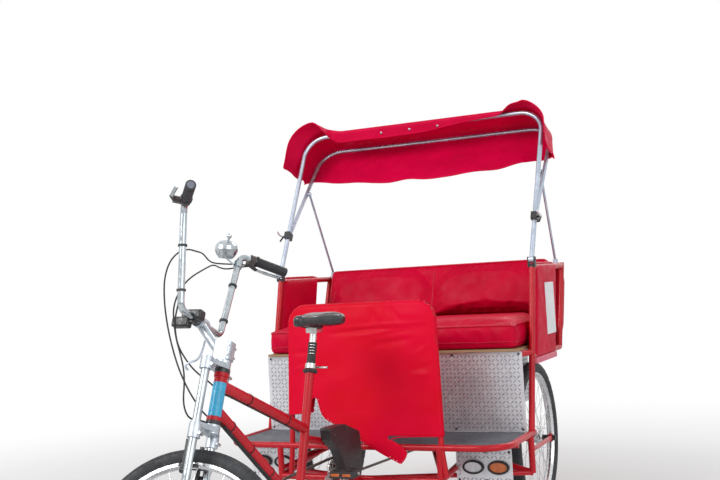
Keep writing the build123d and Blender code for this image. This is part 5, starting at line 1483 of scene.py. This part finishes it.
# %% Cables from bars to frame
CABLE_RADIUS = 0.0026
RISER_FOOT = Vector((131.0, -107.0, 242.0))
RISER_TOP = Vector((201.0, -122.0, 562.0))
TOP_TUBE_END = 558.0
BRACKET = spot(0, *BRACKET_PLACE)
FAR_GEAR = [(-239.7, -93.5, 539.6), (-219, -136, 538), (-203, -172, 533), (-165, -206, 522),
            (-112, -194, 512), (-65, -178, 505), (-20, -164, 497), (35, -157, 480), (90, -149, 463),
            (130, -158, 435),
            (136, -179, 398), (128, -190, 344), (112, -186, 282), (96, -176, 226), (84, -158, 168),
            (72, -134, 108), (62, -108, 56), (52, -74, 4), (40, -44, -34)]
FAR_BRAKE = [(-243, -98, 539.6), (-226, -132, 530), (-196, -166, 510), (-150, -168, 498), (-105, -154, 486),
             (-60, -142, 469), (-20, -136, 442), (20, -130, 414), (60, -131, 381), (90, -136, 345),
             (104, -146, 300), (104, -152, 254), (98, -142, 205), (92, -128, 158), (88, -106, 112),
             (85, -84, 62), (85, -72, 12), (84, -68, -30), (74, -62, -62), (54, -52, -84)]
NEAR_GEAR = [(126, -124, 300), (116, -128, 268), (105, -138, 221), (84, -140, 180), (64, -132, 140),
             (52, -100, 98), (44, -66, 66)]
NOODLE = [(20, -68, 174), (40, -57, 138), (70, -50, 96), (95, -61, 82), (95, -80, 69), (80, -72, 61)]


def under_tube(start, end, share, x, gap=20.4):
    """A place below a sloping frame tube, in metres."""
    run = end - start
    drop = math.sqrt(gap * gap - x * x) + 0.2
    below = Vector((0.0, run.z, -run.y)).normalized()
    if below.z > 0:
        below.negate()
    return start + run * share + below * drop * 0.001 + mm(x, 0, 0)


down_start = HEAD @ mm(0, 0, -39)
top_start = HEAD @ mm(0, 0, 39)
top_end_y = BRACKET_PLACE[0] + (TOP_TUBE_END - BRACKET_PLACE[1]) * math.tan(SEAT_TILT)
top_end = spot(0, top_end_y, TOP_TUBE_END)
far_gear = [BARS @ mm(*place) for place in FAR_GEAR]
far_gear += [HEAD @ mm(-34, -5, -55), HEAD @ mm(-22, 25, -66), under_tube(down_start, BRACKET, 0.06, -6),
             under_tube(down_start, BRACKET, 0.1, -6), under_tube(down_start, BRACKET, 0.13, -6)]
far_brake = [BARS @ mm(*place) for place in FAR_BRAKE]
far_brake += [HEAD @ mm(-36, -10, -76), HEAD @ mm(-22, 20, -80), under_tube(down_start, BRACKET, 0.07, 0),
              under_tube(down_start, BRACKET, 0.1, 0), under_tube(down_start, BRACKET, 0.13, 0)]
near_gear = [BARS @ mm(*place) for place in NEAR_GEAR]
near_gear += [HEAD @ mm(-40, -15, 50), HEAD @ mm(-28, 18, 36), HEAD @ mm(-14, 38, 22),
              under_tube(top_start, top_end, 0.10, 0), under_tube(top_start, top_end, 0.13, 0),
              under_tube(top_start, top_end, 0.16, 0)]
crossing = soft_tube([far_gear, far_brake, near_gear], CABLE_RADIUS)
cables = piece("bar_to_frame_cables", crossing, black_rubber, None, ["bar_cables"], sharp=80)
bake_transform(cables)
noodle = soft_tube([[BARS @ mm(*place) for place in NOODLE]], 0.0032)
piece("brake_noodle", noodle, alloy, "steering", sharp=80)
riser_clip = turned_ring([(0.0112, -0.004), (0.0148, -0.0034), (0.0148, 0.0034), (0.0112, 0.004)], steps=24)
riser_run = (RISER_TOP - RISER_FOOT).normalized()
clip_places = []
for side in (-1.0, 1.0):
    for distance in (58.0, 200.0):
        run = Vector((side * riser_run.x, riser_run.y, riser_run.z))
        centre = Vector((side * RISER_FOOT.x, RISER_FOOT.y, RISER_FOOT.z)) + run * distance
        clip_places.append(BARS @ toward(centre * 0.001, run))
piece("riser_bands", repeat(riser_clip, clip_places), black_paint, "steering")
tie = turned_ring([(0.0182, -0.0016), (0.0196, -0.0016), (0.0196, 0.0016), (0.0182, 0.0016)], steps=28)
down_run = (BRACKET - down_start).normalized()
tie_places = []
for share in (0.16, 0.38, 0.62, 0.84):
    tie_places.append(toward(down_start.lerp(BRACKET, share), down_run))
tie_places.append(toward(top_start.lerp(top_end, 0.3), (top_end - top_start).normalized()))
tie_places.append(toward(top_start.lerp(top_end, 0.75), (top_end - top_start).normalized()))
piece("cable_ties", repeat(tie, tie_places), black_rubber, "frame")
print("cables", [len(route) for route in (far_gear, far_brake, near_gear)])

# %% [markdown]
# ## Seat tube fittings
# Above the quick-release collar the post carries black rings, and a wide black flange lies under
# the collar. Both are spun rings on the seat tube's line.

# %% Post rings and flange
LOWEST_RING_Z = 823
RING_STEP = 10
FLANGE_Z = 757


def on_seat_line(z):
    """A place on the seat tube's line at a height, turned along the tube."""
    y = BRACKET_PLACE[0] + (z - BRACKET_PLACE[1]) * math.tan(SEAT_TILT)
    return Matrix.Translation(spot(0, y, z)) @ Matrix.Rotation(-SEAT_TILT, 4, "X")


post_ring = turned_ring([(0.0129, -0.004), (0.0166, -0.0034), (0.0166, 0.0034), (0.0129, 0.004)], steps=28)
rings = repeat(post_ring, [on_seat_line(LOWEST_RING_Z + RING_STEP * step) for step in range(4)])
flange_ring = turned_ring([(0.0163, -0.007), (0.024, -0.006), (0.0270, -0.002), (0.0270, 0.002),
                           (0.024, 0.005), (0.0163, 0.006)], steps=36)
join(rings, flange_ring, on_seat_line(FLANGE_Z))
piece("seat_tube_rings", rings, black_rubber, "frame")

# %% [markdown]
# ## Small fittings
# The valances hang from black brackets on the cross tube, the pedals carry amber reflectors, and
# each hood clamp has a pale lever.

# %% Brackets, reflectors and clamp levers
brackets = bmesh.new()
for side in (-1.0, 1.0):
    for x in (372.0, 560.0):
        low = spot(side * x - 9, VALANCE_Y, 392)
        high = spot(side * x + 9, VALANCE_Y + 6, 428)
        rounded_block(brackets, low, high, 0.002)
piece("valance_brackets", brackets, black_paint, "frame")
for name, body in (("pedal_left", "left_pedal_body"), ("pedal_right", "right_pedal_body")):
    low, high = (Vector(corner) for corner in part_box(name))
    middle = (low + high) / 2
    reflectors = bmesh.new()
    for y in (low.y - 0.0004, high.y + 0.0004):
        for x in (-0.022, 0.022):
            centre = Vector((middle.x + x, y, middle.z))
            rounded_block(reflectors, centre - mm(16, 1.6, 5), centre + mm(16, 1.6, 5), 0.001, 1)
    piece(f"{name}_reflectors", reflectors, amber_lens, body)
clamp_low, clamp_high = (Vector(corner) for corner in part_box("hood_clamps"))
levers = []
for side, x in ((-1.0, clamp_low.x), (1.0, clamp_high.x)):
    centre_y = (clamp_low.y + clamp_high.y) / 2
    centre_z = (clamp_low.z + clamp_high.z) / 2
    start = Vector((x - side * 0.004, centre_y, centre_z))
    bends = ((0.004, -0.016, 0.004), (0.003, -0.040, 0.014), (0.0, -0.052, 0.024))
    levers.append([start] + [start + Vector((side * x, y, z)) for x, y, z in bends])
piece("clamp_levers", soft_tube(levers, 0.0042), sign_sheet, "hood", sharp=80)
print("clamps", [round(v, 3) for v in clamp_low], [round(v, 3) for v in clamp_high])

# %% [markdown]
# ## Rigid pieces
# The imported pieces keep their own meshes. Each takes one finish, by the real thing's material.

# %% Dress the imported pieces
DRESS = [
    (enamel, ["front_frame", "chassis", "cab_frame", "apron_hoop"]),
    (alloy, ["hood_front_bow", "hood_rear_bow", "hood_struts"]),
    (steel, ["seatpost", "crankset", "countershaft", "front_axle", "seat_collar"]),
    (chrome, ["fork_legs", "handlebar", "bell"]),
    (cast_alloy, ["fork_crowns", "stem"]),
    (tread_plate, ["seat_box_front", "seat_box_sides", "tail_plate", "lamp_panels"]),
    (black_paint, ["hood_brackets", "hood_clamps", "rear_axle", "headset_cups",
                   "head_lamp", "rim_brake"]),
    (lever_body, ["brake_levers"]),
    (moulded_case, ["gear_case"]),
    (black_rubber, ["seatpost_boot", "frame_cables", "bar_cables", "clear_lamps", "amber_lamps"]),
    (grip_rubber, ["grips"]),
    (tyre_rubber, ["rear_tyre_left", "rear_tyre_right", "front_tyre"]),
    (rim_metal, ["rear_wheel_left", "rear_wheel_right", "front_wheel"]),
    (oily_steel, ["front_chain", "rear_chain"]),
    (floor_mat, ["deck"]),
    (plywood, ["seat_board"]),
    (sign_sheet, ["side_sign"]),
    (pedal_plastic, ["pedal_left", "pedal_right"]),
    (saddle_vinyl, ["saddle"]),
    (red_lens, ["tail_lamps"]),
    (vinyl, ["seat_cushion", "seat_back", "side_panel_left", "side_panel_right", "back_panel",
             "apron_cover"]),
    (hood_cloth, ["hood_cover"]),
]
for material, names in DRESS:
    for name in names:
        mesh = nodes[name].data
        mesh.materials.clear()
        mesh.materials.append(material)
print("dressed", sum(len(names) for _, names in DRESS), "of", len(nodes))
